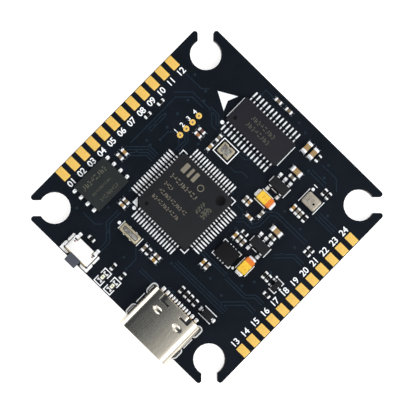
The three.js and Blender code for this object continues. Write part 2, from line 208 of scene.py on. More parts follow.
CAN_METAL = surface("can_metal", (170, 162, 148), 0.42, metallic=0.55, mottle=0.08, size=0.3)
LID_METAL = surface("crystal_lid", (128, 126, 121), 0.45, metallic=0.6, mottle=0.7, size=0.3)
CERAMIC_RIM = surface("crystal_ceramic", (176, 164, 134), 0.5, metallic=0.2, mottle=0.2, size=0.12)
SEAM = surface("crystal_seam", (190, 182, 160), 0.4, metallic=0.5, mottle=0.45, size=0.2)
GROOVE = surface("lid_groove", (66, 54, 46), 0.5, metallic=0.4, mottle=0.4, size=0.1)
LID_INK = surface("lid_marking", (66, 62, 57), 0.6, mottle=0.2, size=0.1)
NYLON = surface("nylon", (34, 35, 39), 0.5, mottle=0.12, size=0.5)
CREAM_PLASTIC = surface("cream_plastic", (176, 156, 122), 0.5, mottle=0.06, size=0.4)
PLUNGER = surface("plunger_plastic", (64, 68, 79), 0.5, mottle=0.06, size=0.4)
RIVET = surface("rivet_plastic", (96, 44, 20), 0.5, mottle=0.1, size=0.1)
CONTACT_GOLD = surface("contact_gold", (230, 180, 92), 0.28, metallic=0.9, mottle=0.05, size=0.2)
YELLOW = surface("tantalum_yellow", (226, 183, 50), 0.5, mottle=0.07, size=0.3)
ORANGE = surface("tantalum_band", (214, 112, 30), 0.5, mottle=0.08, size=0.3)
MARK_BROWN = surface("burnt_mark", (198, 96, 26), 0.6, mottle=0.15, size=0.1)
LASER = surface("laser_mark", (118, 112, 98), 0.7, mottle=0.22, size=0.12)
LASER_FAINT = surface("laser_mark_faint", (82, 82, 70), 0.7, mottle=0.3, size=0.12)
GLASS_BLACK = surface("resistor_glass", (20, 21, 24), 0.3, mottle=0.2, size=0.15, specular=0.2)
ALUMINA = surface("resistor_alumina", (222, 218, 208), 0.6, mottle=0.06, size=0.2)
LENS = surface("lens_resin", (234, 236, 220), 0.25, mottle=0.05, size=0.2, coat=0.3)
PHOSPHOR = surface("lens_phosphor", (142, 146, 44), 0.4, mottle=0.1, size=0.1)
# Painted shade: near black, for the insides of holes and openings.
PAINTED_HOLE_SHADE = surface("recess_painted_shade", (14, 14, 16), 0.7, mottle=0.3, size=0.1, specular=0.1)
POLISHED = surface("moulding_polished", (17, 17, 19), 0.4, mottle=0.15, size=0.2, specular=0.12)
PROCESSOR_SKIN = moulded("processor_moulding", (31, 32, 35))
OVERLAY_SKIN = moulded("overlay_moulding", (32, 32, 38))
FLASH_SKIN = moulded("flash_moulding", (37, 40, 41))
SENSOR_SKIN = moulded("sensor_moulding", (16, 16, 20))
REGULATOR_SKIN = moulded("regulator_moulding", (30, 31, 34))
CERAMICS = {
    tint: surface("ceramic_" + tint, colour, 0.5, mottle=0.1, size=0.12)
    for tint, colour in {
        "tan": (150, 122, 80),
        "brown": (104, 90, 72),
        "gold": (152, 116, 56),
        "orange": (138, 94, 52),
        "red": (84, 52, 44),
        "grey": (104, 98, 84),
    }.items()
}


# ---------------------------------------------------------------------------------------------------
# Outlines and paths, in millimetres


def evenly(count, pitch):
    """count offsets, pitch apart and centred on zero."""
    return [(i - (count - 1) / 2) * pitch for i in range(count)]


def rounded(width, depth, radius, z=0.0, segments=4, flat=1):
    """A rounded rectangle at height z, anticlockwise. Each straight side is cut into flat parts."""
    points = []
    for quarter, (sx, sy) in enumerate(((1, 1), (-1, 1), (-1, -1), (1, -1))):
        middle = Vector((sx * (width / 2 - radius), sy * (depth / 2 - radius), z))
        for step in range(segments + 1):
            angle = (quarter + step / segments) * math.pi / 2
            points.append(middle + radius * Vector((math.cos(angle), math.sin(angle), 0)))
    if flat == 1:
        return points
    corner = segments + 1
    divided = []
    for quarter in range(4):
        divided += points[quarter * corner : (quarter + 1) * corner]
        start, end = divided[-1], points[((quarter + 1) * corner) % len(points)]
        divided += [start.lerp(end, i / flat) for i in range(1, flat)]
    return divided


def circle(radius, z=0.0, steps=20):
    return rounded(2 * radius, 2 * radius, radius, z, steps // 4)


def ribbon(points, width):
    """The outline of a line of that width along the points, mitred at its corners."""
    line = [Vector(p) for p in points]
    left, right = [], []
    for i, point in enumerate(line):
        before = (point - line[i - 1]).normalized() if i else None
        after = (line[i + 1] - point).normalized() if i + 1 < len(line) else None
        along = ((before or after) + (after or before)).normalized()
        side = Vector((-along.y, along.x))
        start = before or after
        reach = width / 2 / max(0.4, side.dot(Vector((-start.y, start.x))))
        left.append(point + side * reach)
        right.append(point - side * reach)
    return left + right[::-1]


def arc(x, y, radius, start, end, steps=6):
    """Points of an arc about (x, y), from one angle in degrees to another."""
    angles = [math.radians(start + (end - start) * i / steps) for i in range(steps + 1)]
    return [(x + radius * math.cos(a), y + radius * math.sin(a)) for a in angles]


def castellated(width, depth, corner, notch, places):
    """A rectangle with hollowed corners, and round notches at those places along its two X sides."""
    x, y = width / 2, depth / 2
    side = arc(x, -y, corner, 180, 90)
    for place in sorted(places):
        side += arc(x, place, notch, 270, 90, 8)
    side += arc(x, y, corner, 270, 180)
    return side + [(-a, -b) for a, b in side]


def beside(points, distance):
    """The line that runs at that distance to the left of the points."""
    both = ribbon(points, 2 * distance)
    return both[: len(points)]


def filleted(corners, radius):
    """A path in the XZ plane through the corners, with its inner corners rounded."""
    path = [Vector((x, 0, z)) for x, z in corners]
    smooth = [path[0]]
    for before, corner, after in zip(path, path[1:], path[2:]):
        start = corner + (before - corner).normalized() * radius
        end = corner + (after - corner).normalized() * radius
        for t in (0, 0.25, 0.5, 0.75, 1):
            smooth.append(start * (1 - t) ** 2 + corner * 2 * t * (1 - t) + end * t**2)
    return smooth + [path[-1]]


# ---------------------------------------------------------------------------------------------------
# Pieces


def placed(name, data):
    """A new object with that data, in the scene."""
    holder = bpy.data.objects.new(name, data)
    bpy.context.scene.collection.objects.link(holder)
    return holder


def evaluated(holder):
    """The mesh that an object's curves or modifiers give. The object is removed."""
    graph = bpy.context.evaluated_depsgraph_get()
    mesh = bpy.data.meshes.new_from_object(holder.evaluated_get(graph))
    bpy.data.objects.remove(holder)
    return mesh


class Piece:
    """Closed shapes gathered into one object, in millimetres until it is finished.

    A shape's heights are above the place that at() gives, which is the board's top by default.
    """

    def __init__(self, name, *materials):
        self.name = name
        self.materials = materials
        self.mesh = bmesh.new()
        self.at()

    def at(self, x=0.0, y=0.0, z=TOP, turn=0.0):
        """Puts the next shapes at a point, turned by degrees about Z."""
        self.place = Matrix.Translation((x, y, z)) @ Matrix.Rotation(math.radians(turn), 4, "Z")
        return self

    def moved(self, x, y=0.0):
        """Moves the place for the next shapes along its own axes."""
        self.place = self.place @ Matrix.Translation((x, y, 0))
        return self

    def loft(self, rings, material=0, closed=False):
        """A skin over rings of equal length, capped unless closed. material may be a list, one a band."""
        rows = [[self.mesh.verts.new(self.place @ Vector(point)) for point in ring] for ring in rings]
        bands = list(zip(rows, rows[1:])) + ([(rows[-1], rows[0])] if closed else [])
        kinds = material if isinstance(material, list) else [material] * len(bands)
        for (lower, upper), kind in zip(bands, kinds):
            for i in range(len(lower)):
                j = (i + 1) % len(lower)
                self.mesh.faces.new((lower[i], lower[j], upper[j], upper[i])).material_index = kind
        if not closed:
            self.mesh.faces.new(rows[0][::-1]).material_index = kinds[0]
            self.mesh.faces.new(rows[-1]).material_index = kinds[-1]

    def prism(self, outline, low, high, material=0):
        """An upright solid over a flat outline."""
        self.loft([[(p[0], p[1], z) for p in outline] for z in (low, high)], material)

    def turned(self, profile, material=0, steps=20):
        """A round solid: profile gives its radius at each height, as (radius, height)."""
        self.loft([circle(radius, z, steps) for radius, z in profile], material)

    def stack(self, width, depth, profile, radius=0.1, material=0, segments=3):
        """A rounded block: profile gives its inset at each height, as (height, inset)."""
        rings = [
            rounded(width - 2 * inset, depth - 2 * inset, max(radius - inset, 0.35 * radius), z, segments)
            for z, inset in profile
        ]
        self.loft(rings, material)

    def block(self, width, depth, low, high, edge=0.03, radius=0.06, material=0):
        """A block with softened edges all round."""
        soft = 0.3 * edge
        profile = [(low, edge), (low + soft, soft), (low + edge, 0), (high - edge, 0), (high - soft, soft)]
        self.stack(width, depth, profile + [(high, edge)], radius, material)

    def ring(self, width, depth, band, low, high, radius, material=0, segments=5):
        """A flat rounded frame, band wide inside the given outline."""
        soft = min(band, high - low) * 0.3
        levels = [(low, 0), (high - soft, 0), (high, soft)]
        levels += [(high, band - soft), (high - soft, band), (low, band)]
        rings = [
            rounded(width - 2 * inset, depth - 2 * inset, max(radius - inset, 0.03), z, segments)
            for z, inset in levels
        ]
        self.loft(rings, material, closed=True)

    def dome(self, width, depth, low, high, radius=None, material=0):
        """A low mound on a rounded outline."""
        radius = min(width, depth) / 2 if radius is None else radius
        rings = []
        for i in range(5):
            angle = i / 4 * math.pi / 2 * 0.92
            shrink = math.cos(angle)
            z = low + (high - low) * math.sin(angle)
            rings.append(rounded(width * shrink, depth * shrink, radius * shrink, z, 4))
        self.loft(rings, material)

    def strip(self, path, width, thickness, material=0):
        """A flat metal strip with softened edges, along a path in the local XZ plane."""
        cut = 0.25 * thickness
        w, t = width / 2, thickness / 2
        section = [(w - cut, t), (cut - w, t), (-w, t - cut), (-w, cut - t)]
        section += [(-v, -n) for v, n in section]
        rings = []
        for i, point in enumerate(path):
            along = path[min(i + 1, len(path) - 1)] - path[max(i - 1, 0)]
            normal = Vector((-along.z, 0, along.x)).normalized()
            rings.append([point + Vector((0, v, 0)) + normal * n for v, n in section])
        self.loft(rings, material)

    def fillet(self, start, end, width, height, material=0):
        """Solder that runs down from a height at start to the pad at end, along local X."""
        rings = []
        for i in range(5):
            t = i / 4
            h = PAD + (height - PAD) * (1 - t) ** 2
            half = width / 2 * (1 - 0.22 * t * t)
            side = [(half, -SINK), (half, 0.45 * h), (0.62 * half, 0.93 * h), (0, h)]
            outline = side + [(-v, z) for v, z in side[-2::-1]]
            rings.append([(start + (end - start) * t, v, z) for v, z in outline])
        self.loft(rings, material)

    def line(self, points, width, height=PRINT):
        """A printed or etched line, a little narrower on top."""
        levels = ((ribbon(points, width), -SINK), (ribbon(points, width - height), height))
        self.loft([[(p.x, p.y, z) for p in outline] for outline, z in levels])

    def number(self, text, x, y, height):
        """Plain digits, centred on a point and read along +X."""
        curve = bpy.data.curves.new("digits", "FONT")
        curve.body = text
        curve.align_x = curve.align_y = "CENTER"
        curve.size = height / 0.7
        curve.space_character = 0.95
        curve.offset = 0.018 * height
        curve.extrude = PRINT / 2
        curve.resolution_u = 3
        glyphs = evaluated(placed("digits", curve))
        ys = [v.co.y for v in glyphs.vertices]
        glyphs.transform(Matrix.Translation((x, y - (max(ys) + min(ys)) / 2, TOP + PRINT / 2)))
        self.mesh.from_mesh(glyphs)
        bpy.data.curves.remove(curve)
        bpy.data.meshes.remove(glyphs)

    def as_mesh(self):
        bmesh.ops.remove_doubles(self.mesh, verts=self.mesh.verts, dist=1e-6)
        bmesh.ops.recalc_face_normals(self.mesh, faces=self.mesh.faces)
        mesh = bpy.data.meshes.new(self.name)
        self.mesh.to_mesh(mesh)
        for material in self.materials:
            mesh.materials.append(material)
        return mesh

    def modified(self, kind, **settings):
        """Applies one modifier to everything gathered so far."""
        holder = placed("work", self.as_mesh())
        modifier = holder.modifiers.new("work", kind)
        for key, value in settings.items():
            setattr(modifier, key, value)
        result = evaluated(holder)
        self.mesh.clear()
        self.mesh.from_mesh(result)
        bpy.data.meshes.remove(result)

    def bevel(self, width, angle):
        """Softens the edges that turn by more than an angle in degrees."""
        limit = math.radians(angle)
        self.modified("BEVEL", width=width, segments=2, limit_method="ANGLE", angle_limit=limit)

    def carve(self, cutter):
        """Takes another piece's shape out of this one."""
        tool = placed("tool", cutter.as_mesh())
        self.modified("BOOLEAN", object=tool, operation="DIFFERENCE", solver="EXACT")
        bpy.data.objects.remove(tool)

    def finish(self, slot, replaces=(), body="board", sharp=38):
        """Makes the object: it rides on the body and may stand for CAD nodes."""
        mesh = self.as_mesh()
        self.mesh.free()
        mesh.transform(Matrix.Scale(MM, 4))
        mesh.shade_smooth()
        mesh.set_sharp_from_angle(angle=math.radians(sharp))
        piece = placed(self.name, mesh)
        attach(piece, body)
        if replaces:
            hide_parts(*replaces)


def paint(node, material):
    """The material of a CAD node that shows as it is."""
    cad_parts[node].material_slots[0].material = material


def node_box(node):
    """A CAD node's centre, size, bottom and top in millimetres, with heights above the board's top."""
    low, high = (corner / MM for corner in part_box(node))
    return (low + high) / 2, high - low, low.z - TOP, high.z - TOP


# ---------------------------------------------------------------------------------------------------
# Board: traces, pads and legend

PAD_PITCH = 2.0
EDGE_PADS = 12  # along each of the front and rear edges
EDGE_PAD_WIDTH = 1.18
FRONT_PADS = {"low": 16.82, "high": 18.72, "label": 16.05, "first": 1}
REAR_PADS = {"low": -18.66, "high": -16.97, "label": -16.22, "first": 13}
LABEL_HEIGHT = 0.92
TEST_PADS = [(4.5, 9.85), (5.75, 9.85), (7.02, 9.85), (8.3, 9.85)]
# A test pad's radius and height, from its rim across its face and down the hole in its middle.
TEST_PAD = [(0.44, -SINK), (0.44, 0.5 * PAD), (0.38, PAD), (0.15, PAD), (0.11, 0.4 * PAD), (0.09, 0.1 * PAD)]
TEST_LABEL = 0.7  # height of the small digits
TEST_LABEL_OFFSET = 0.82  # from a test pad's middle to its digit's

# Traces that show through the mask: the points of one line, how many run side by side, and their pitch.
TRACE_WIDTH = 0.17
TRACES = [
    ([(8.4, 1.9), (8.4, 0.9), (9.1, 0.2), (9.1, -1.6)], 2, 0.5),
    ([(6.2, 1.6), (6.2, 0.6), (6.9, -0.1), (6.9, -1.2)], 1, 0),
    ([(-1.2, 14.05), (7.9, 14.05), (9.55, 12.4), (9.55, 10.2)], 1, 0),
    ([(8.2, 14.75), (10.1, 12.85), (10.1, 9.1), (8.6, 7.6), (8.6, 6.6)], 1, 0),
    ([(-3.4, 12.9), (-2.6, 12.9), (-0.9, 11.2), (-0.9, 10.1)], 4, 0.42),
    ([(2.4, 8.9), (3.3, 8.9), (4.1, 9.7)], 1, 0),
    ([(2.6, 8.4), (4.6, 8.4), (5.75, 9.5)], 2, 0.4),
    ([(10.0, 9.6), (10.0, 8.1), (9.0, 7.1)], 2, 0.38),
    ([(1.9, 13.2), (4.9, 13.2)], 2, 0.42),
    ([(2.1, 11.4), (3.6, 11.4), (4.5, 10.5)], 1, 0),
    ([(-15.3, 6.3), (-13.3, 6.3), (-11.4, 8.2), (-9.2, 8.2)], 2, 0.45),
    ([(-14.3, 2.0), (-12.4, 2.0), (-11.3, 3.1)], 1, 0),
    ([(-9.3, -2.3), (-9.3, -12.2)], 3, 0.42),
    ([(-5.6, -8.9), (-5.6, -12.8), (-4.6, -13.8), (-4.6, -15.2)], 2, 0.42),
    ([(-8.9, -10.9), (-6.3, -13.5), (-6.3, -15.2)], 2, 0.5),
    ([(-5.3, -3.8), (-5.3, -8.7)], 2, 0.4),
    ([(1.3, -4.4), (2.1, -5.2), (2.1, -6.5), (3.2, -7.2), (5.3, -7.2), (5.8, -7.9), (5.8, -13.6)], 2, 0.5),
    ([(9.6, -11.9), (9.6, -15.4)], 3, 0.45),
    ([(3.1, -2.6), (3.1, -3.9), (2.4, -4.6)], 1, 0),
    ([(13.6, -7.0), (13.6, -9.8)], 2, 0.5),
    ([(14.3, -11.6), (15.6, -10.3), (15.6, -7.4)], 1, 0),
    ([(16.9, 5.6), (17.6, 5.6), (17.6, 4.2)], 1, 0),
    ([(11.3, 15.3), (11.3, 12.3), (12.1, 11.5)], 1, 0),
    ([(-13.2, 0.6), (-13.2, -3.6), (-12.0, -4.8)], 2, 0.42),
    ([(-12.9, 11.9), (-12.9, 9.6), (-12.2, 8.9)], 1, 0),
    ([(1.3, -11.7), (3.3, -13.7), (3.3, -15.4)], 2, 0.45),
]
VIAS = [
    (0.65, 12.65), (0.5, 11.85), (-1.5, 12.55), (8.8, 12.5), (11.5, 11.6), (10.35, 10.8), (3.0, 13.5),
    (5.1, 13.4), (2.1, 11.4), (4.0, 11.9), (6.4, 12.2), (7.3, 8.9), (5.4, 7.1), (-12.4, 7.6), (-13.4, 3.4),
    (-14.3, 2.0), (-9.3, -2.0), (-12.0, -5.0), (-7.6, -10.2), (-7.0, -7.4), (-4.6, -11.3), (-3.0, -12.2),
    (2.5, -12.2), (4.5, -12.9), (7.2, -8.3), (6.9, -11.6), (13.6, -6.7), (14.5, -9.0), (16.2, -8.2),
    (16.6, 5.6), (17.6, -1.0), (17.2, -2.6), (12.1, 14.3), (-13.1, 13.0), (-6.1, 9.4), (-9.9, 9.9),
    (3.9, -1.2), (4.6, 0.6), (5.0, 2.4), (9.0, 1.0), (-8.0, 1.2), (-0.4, -12.9), (0.6, -5.0), (11.0, -13.1),
]
VIA_RADIUS = 0.22

# Lines of the printed legend that aren't a package outline: their points.
LEGEND_LINE = 0.13
WIDE_LINE = 0.16
BARS = [
    *[[(start, y), (end, y)] for start, end, *ys in (
        (11.05, 14.72, 7.0, -2.97),  # overlay chip
        (9.6, 12.0, -8.6, -11.42),  # barometer
        (-11.05, -9.6, 6.86, 3.3),  # resonator
        (-3.45, -1.4, -8.84, -10.64),  # tantalum_left
        (-16.65, -14.95, -2.22, -11.56),  # receptacle
    ) for y in ys],
    *[[(x, start), (x, end)] for start, end, *xs in (
        (-3.85, -5.95, 5.5, 7.3),  # tantalum_right
        (-11.85, -9.6, -11.65, -10.22),  # diode
    ) for x in xs],
    *[[(x, y + dy), (x, y), (x + dx, y)] for x, dx in ((-4.2, 0.45), (-1.5, -0.45))  # motion sensor
      for y, dy in ((-5.0, -0.65), (-8.2, 0.65))],
    [(8.7, -3.7), (9.7, -3.7)], [(8.3, -6.75), (9.95, -6.75)], [(8.2, -5.65), (8.2, -4.7)],
    [(0.7, -7.62), (1.7, -7.62)], [(0.35, -10.66), (2.0, -10.66)], [(0.23, -9.5), (0.23, -8.65)],
    [(-2.2, -14.25), (-2.2, -15.35), (-1.75, -15.35)], [(-0.28, -14.25), (-0.28, -15.35), (-0.75, -15.35)],
]
DOTS = [
    (-7.4, 7.25, 0.28), (10.0, 6.85, 0.29), (-3.7, -8.62, 0.2), (12.22, -9.0, 0.24), (-10.35, 7.28, 0.25),
    (-0.25, -13.98, 0.17),
]
ARROW = [(12.7, 10.42), (14.18, 7.82), (12.7, 8.42), (11.28, 7.82)]
PROCESSOR_CORNERS = [(1, 1), (1, -1), (-1, -1)]  # corners with a plain L; the fourth has the triangle
PROCESSOR_CORNER = 5.15  # from the package's centre to the corner marks
PROCESSOR_ARM = 0.85  # length of a corner mark
CRYSTAL_FRAME = (2.52, 2.94, 0.14)  # width, depth and line
PIN_ONE = ("1", 12.82, -8.95, 0.62)  # digit at the barometer, its place and height


def edge_pads():
    for name, row in (("front", FRONT_PADS), ("rear", REAR_PADS)):
        depth = row["high"] - row["low"]
        pads = Piece(f"pads_{name}", GOLD)
        labels = Piece(f"legend_numbers_{name}", LEGEND)
        for i, x in enumerate(evenly(EDGE_PADS, PAD_PITCH)):
            pads.at(x, (row["low"] + row["high"]) / 2)
            profile = [(-SINK, 0), (0.5 * PAD, 0), (0.85 * PAD, 0.03), (PAD, 0.09)]
            pads.stack(EDGE_PAD_WIDTH, depth, profile, radius=0.05, segments=2)
            labels.number(f"{row['first'] + i:02d}", x, row["label"], LABEL_HEIGHT)
        pads.finish("gold")
        labels.finish("silkscreen")


def test_pads():
    pads = Piece("pads_test", GOLD, CERAMICS["brown"])
    labels = Piece("legend_numbers_test", LEGEND)
    for i, (x, y) in enumerate(TEST_PADS):
        pads.at(x, y).turned(TEST_PAD, [0, 0, 0, 1, 1])
        labels.number(str(i + 1), x, y + TEST_LABEL_OFFSET, TEST_LABEL)
    pads.finish("gold")
    labels.finish("silkscreen")


def traces(name, z, sign):
    """Traces and vias on one face; the underside's are mirrored and stand down from it."""
    lines = Piece(name, MASK_COPPER).at(0, 0, z)
    lines.place = lines.place @ Matrix.Diagonal((sign, 1, sign, 1))
    for points, count, pitch in TRACES:
        for i in range(count):
            route = beside(points, i * pitch) if i else points
            lines.line(route, TRACE_WIDTH, MASK)
    for x, y in VIAS:
        levels = [(1.0, -SINK), (0.9, MASK), (0.55, MASK), (0.4, 0.3 * MASK), (0.2, 0.1 * MASK)]
        middle = Vector((x, y, 0))
        lines.loft([[p + middle for p in circle(share * VIA_RADIUS, h, 16)] for share, h in levels])
    lines.finish("solder_mask")


def legend_lines():
    marks = Piece("legend_lines", LEGEND)
    for points in BARS:
        marks.line(points, LEGEND_LINE)
    marks.finish("silkscreen")


def legend_symbols():
    symbols = Piece("legend_symbols", LEGEND)
    symbols.prism(ARROW, -SINK, PRINT)
    for x, y, radius in DOTS:
        symbols.at(x, y)
        symbols.turned([(radius, -SINK), (radius, 0.6 * PRINT), (radius - 0.01, PRINT)])
    symbols.number(*PIN_ONE)
    symbols.finish("silkscreen")


def legend_outlines():
    """The marks at the processor's corners and the frame round the crystal."""
    centre = node_box("processor_body")[0]
    corners = Piece("legend_processor", LEGEND).at(*centre.xy)
    near, arm = PROCESSOR_CORNER, PROCESSOR_CORNER - PROCESSOR_ARM
    for sx, sy in PROCESSOR_CORNERS:
        corners.line([(sx * arm, sy * near), (sx * near, sy * near), (sx * near, sy * arm)], WIDE_LINE)
    corners.prism([(-near, near), (-near, near - 1), (-near + 1.05, near)], -SINK, PRINT)
    corners.finish("silkscreen")

    centre = node_box("crystal_base")[0]
    box = Piece("legend_crystal", LEGEND).at(*centre.xy)
    box.ring(*CRYSTAL_FRAME, -SINK, PRINT, 0.05)
    box.finish("silkscreen")


def board():
    paint("circuit_board", MASK_BOARD)
    traces("traces_top", TOP, 1)
    traces("traces_bottom", 0, -1)
    edge_pads()
    test_pads()
    legend_lines()
    legend_symbols()
    legend_outlines()


# ---------------------------------------------------------------------------------------------------
# Chips


def chip_profile(low, high, draft, edge=0.05):
    """Moulding with a parting line at half height, drafted sides and a soft top edge."""
    middle = (low + high) / 2
    top = [(high - edge, 0.85 * draft), (high - 0.3 * edge, draft + 0.25 * edge), (high, draft + edge)]
    return [(low, 0.6 * draft), (middle - 0.01, 0), (middle + 0.01, 0)] + top


def dimple(x, y, radius, top, depth=0.05):
    """A cutter for a round recess whose walls take the second material of the piece that it cuts."""
    cutter = Piece("cutter", PAINTED_HOLE_SHADE, PAINTED_HOLE_SHADE).at(x, y)
    cutter.turned([(0.8 * radius, top - depth), (radius, top - 0.3 * depth), (radius, top + 1)], 1, 24)
    return cutter


def chamfered(width, depth, z, cuts):
    """A rectangle at height z with its corners cut off, from the +X +Y corner anticlockwise."""
    points = []
    for (sx, sy), cut in zip(((1, 1), (-1, 1), (-1, -1), (1, -1)), cuts):
        along_x = Vector((sx * (width / 2 - cut), sy * depth / 2, z))
        along_y = Vector((sx * width / 2, sy * (depth / 2 - cut), z))
        points += [along_y, along_x] if sx == sy else [along_x, along_y]
    return points


LEAD_THICKNESS = 0.13
LEAD_REST = PAD + LEAD_THICKNESS / 2  # height of a lead's middle where it lies on its pad


def leaded_body(name, skin, dimples, draft, cuts):
    """A moulding with its corners cut off and round recesses in its top."""
    centre, size, low, high = node_box(name + "_body")
    rings = []
    for z, inset in chip_profile(low, high, draft):
        inner_cuts = [cut - 0.58 * inset if cut > 0.2 else cut for cut in cuts]
        rings.append(chamfered(size.x - 2 * inset, size.y - 2 * inset, z, inner_cuts))
    body = Piece(name + "_body", skin, POLISHED).at(*centre.xy)
    body.loft(rings)
    for x, y, radius in dimples:
        body.carve(dimple(x, y, radius, high))
    body.finish("moulding", [name + "_body"], sharp=30)


def leaded(name, skin, rows, width, shoulder, gap, pad, dimples=(), draft=0.1, pad_grow=0.05,
           cuts=(0.1,) * 4):
    """A moulded package with gull-wing leads. rows gives each side's lead offsets, side 0 facing +X.

    Leads leave the body level, drop through the gap and lie on pads that reach past their tips by pad.
    """
    leaded_body(name, skin, dimples, draft, cuts)
    centre, size, low, high = node_box(name + "_body")
    lead_size = node_box(name + "_leads")[1]
    exit_height = (low + high) / 2
    pad_width = width + pad_grow
    leads = Piece(name + "_leads", TIN, PAINTED_BEND_SHADE)
    joints = Piece(name + "_joints", SOLDER)
    for side, offsets in rows.items():
        half, tip = size[side % 2] / 2, lead_size[side % 2] / 2
        knee = half + shoulder
        heel = knee + gap
        corners = [(half - 0.12, exit_height), (knee, exit_height), (heel, LEAD_REST), (tip, LEAD_REST)]
        path = filleted(corners, 0.06)
        # The steep parts of each lead take the painted shade of the bend.
        steep = [int(abs(b.z - a.z) > 0.25 * abs(b.x - a.x)) for a, b in zip(path, path[1:])]
        for offset in offsets:
            leads.at(*centre.xy, turn=90 * side).moved(0, offset)
            leads.strip(path, width, LEAD_THICKNESS, steep)
            joints.at(*centre.xy, turn=90 * side).moved(0, offset)
            joints.fillet(tip - 0.04, tip + pad, pad_width, LEAD_REST + 0.03)
            joints.moved((heel + tip + pad) / 2)
            joints.stack(tip + pad - heel + 0.04, pad_width, FLAT_PAD, 0.06, segments=2)
    leads.finish("tin", [name + "_leads"])
    joints.finish("tin")


MARK = 0.004  # height of laser marking
FLAT_MARK = [(-MARK, 0), (MARK, 0.01)]  # its profile, as (height, inset)
# The ticks that stand for one sign: middle across and along, width and height, in sign heights.
TICKS = [
    [(0, 0.36, 0.48, 0.17), (0, -0.3, 0.48, 0.17)],
    [(-0.16, 0, 0.16, 0.9), (0.16, -0.1, 0.16, 0.6)],
    [(0, 0, 0.5, 0.17), (0.1, 0.34, 0.2, 0.17)],
    [(0.12, 0.1, 0.16, 0.7), (-0.14, -0.36, 0.2, 0.17)],
    [(-0.1, 0.36, 0.34, 0.17), (0.06, 0, 0.34, 0.17), (-0.06, -0.36, 0.34, 0.17)],
]


def marks(name, finish, top, columns, turn=0.0):
    """Laser marking with nothing to read: rows of plain ticks, each (x, y, length, height)."""
    piece = Piece(name, finish)
    for x, y, length, height in columns:
        count = round(length / (0.72 * height))
        for i in range(count):
            step = (i + 0.5) * length / count
            for across, along, tick_width, tick_height in TICKS[(3 * i + count) % len(TICKS)]:
                piece.at(x, y, TOP + top, turn).moved(step + across * height, along * height)
                piece.stack(tick_width * height, tick_height * height, FLAT_MARK, radius=0.02, segments=1)
    piece.finish("silkscreen")


SQUARE_SIDES = {side: evenly(16, 0.5) for side in range(4)}
# Columns of marking, each its start, the length that it runs along -Y, and the height of its signs.
PROCESSOR_TEXT = [
    (-4.3, 6.7, 5.0, 0.62), (-3.05, 6.6, 5.2, 0.62), (-1.85, 6.7, 1.5, 0.58), (-0.45, 6.85, 5.0, 0.74),
]
PROCESSOR_RECESSES = [(3.6, -3.55, 0.74), (-3.95, 3.6, 0.3)]  # place from the centre, and radius
PROCESSOR_CUTS = (0.45, 1.0, 0.45, 0.45)  # corners cut off, from +X +Y anticlockwise
EMBLEM_BARS = [(1.6, 6.0, 1.5, 0.75), (1.6, 5.0, 1.5, 0.45), (1.6, 4.1, 1.5, 0.6)]  # place and size
EMBLEM_RING = (1.05, 2.5, 1.0)  # place and width of a plain ring
# The square of dots: how many along each side, their pitch and width, and the X of its middle.
CODE_COUNT, CODE_PITCH, CODE_DOT, CODE_X = 9, 0.2, 0.17, -0.98
OVERLAY_TEXT = [(12.25, 4.4, 4.5, 0.74), (13.4, 4.4, 4.5, 0.74)]


def processor():
    centre, _, _, high = node_box("processor_body")
    recesses = [(centre.x + x, centre.y + y, radius) for x, y, radius in PROCESSOR_RECESSES]
    leaded("processor", PROCESSOR_SKIN, SQUARE_SIDES, 0.2, 0.36, 0.2, 0.68, recesses, 0.14, 0.03,
           PROCESSOR_CUTS)
    marks("processor_marking", LASER, high, PROCESSOR_TEXT, turn=-90)
    emblem = Piece("processor_emblem", LASER)
    for x, y, width, depth in EMBLEM_BARS:
        emblem.at(x, y, TOP + high).stack(width, depth, [(-MARK, 0), (MARK, 0.02)], radius=0.12)
    x, y, width = EMBLEM_RING
    emblem.at(x, y, TOP + high).ring(width, width, 0.1, -MARK, MARK, width / 2)
    emblem.finish("silkscreen")
    code = Piece("processor_code", LASER_FAINT)
    for i, x in enumerate(evenly(CODE_COUNT, CODE_PITCH)):
        for j, y in enumerate(evenly(CODE_COUNT, CODE_PITCH)):
            if (3 * i + 5 * j + i * j * j) % 7 < 4:
                code.at(CODE_X + x, y, TOP + high)
                code.stack(CODE_DOT, CODE_DOT, FLAT_MARK, radius=0.02, segments=1)
    code.finish("silkscreen")


def overlay_chip():
    centre, _, _, high = node_box("overlay_chip_body")
    rows = {side: evenly(14, 0.65) for side in (0, 2)}
    pin_mark = (centre.x - 1.2, centre.y + 4.05, 0.33)
    leaded("overlay_chip", OVERLAY_SKIN, rows, 0.22, 0.36, 0.22, 0.5, [pin_mark], pad_grow=0.04)
    marks("overlay_chip_marking", LASER_FAINT, high, OVERLAY_TEXT, turn=-90)


def regulators():
    rows = {0: evenly(3, 0.95), 2: evenly(2, 1.9)}
    for name in ("regulator_front", "regulator_rear"):
        leaded(name, REGULATOR_SKIN, rows, 0.4, 0.14, 0.14, 0.22, draft=0.12, pad_grow=0.12)


def small_leaded_parts():
    leaded("diode", REGULATOR_SKIN, {1: [0], 3: [0]}, 0.34, 0.12, 0.1, 0.16, draft=0.08, pad_grow=0.3)
    leaded("transistor", REGULATOR_SKIN, {1: evenly(2, 1), 3: [0]}, 0.26, 0.1, 0.1, 0.12, draft=0.06)


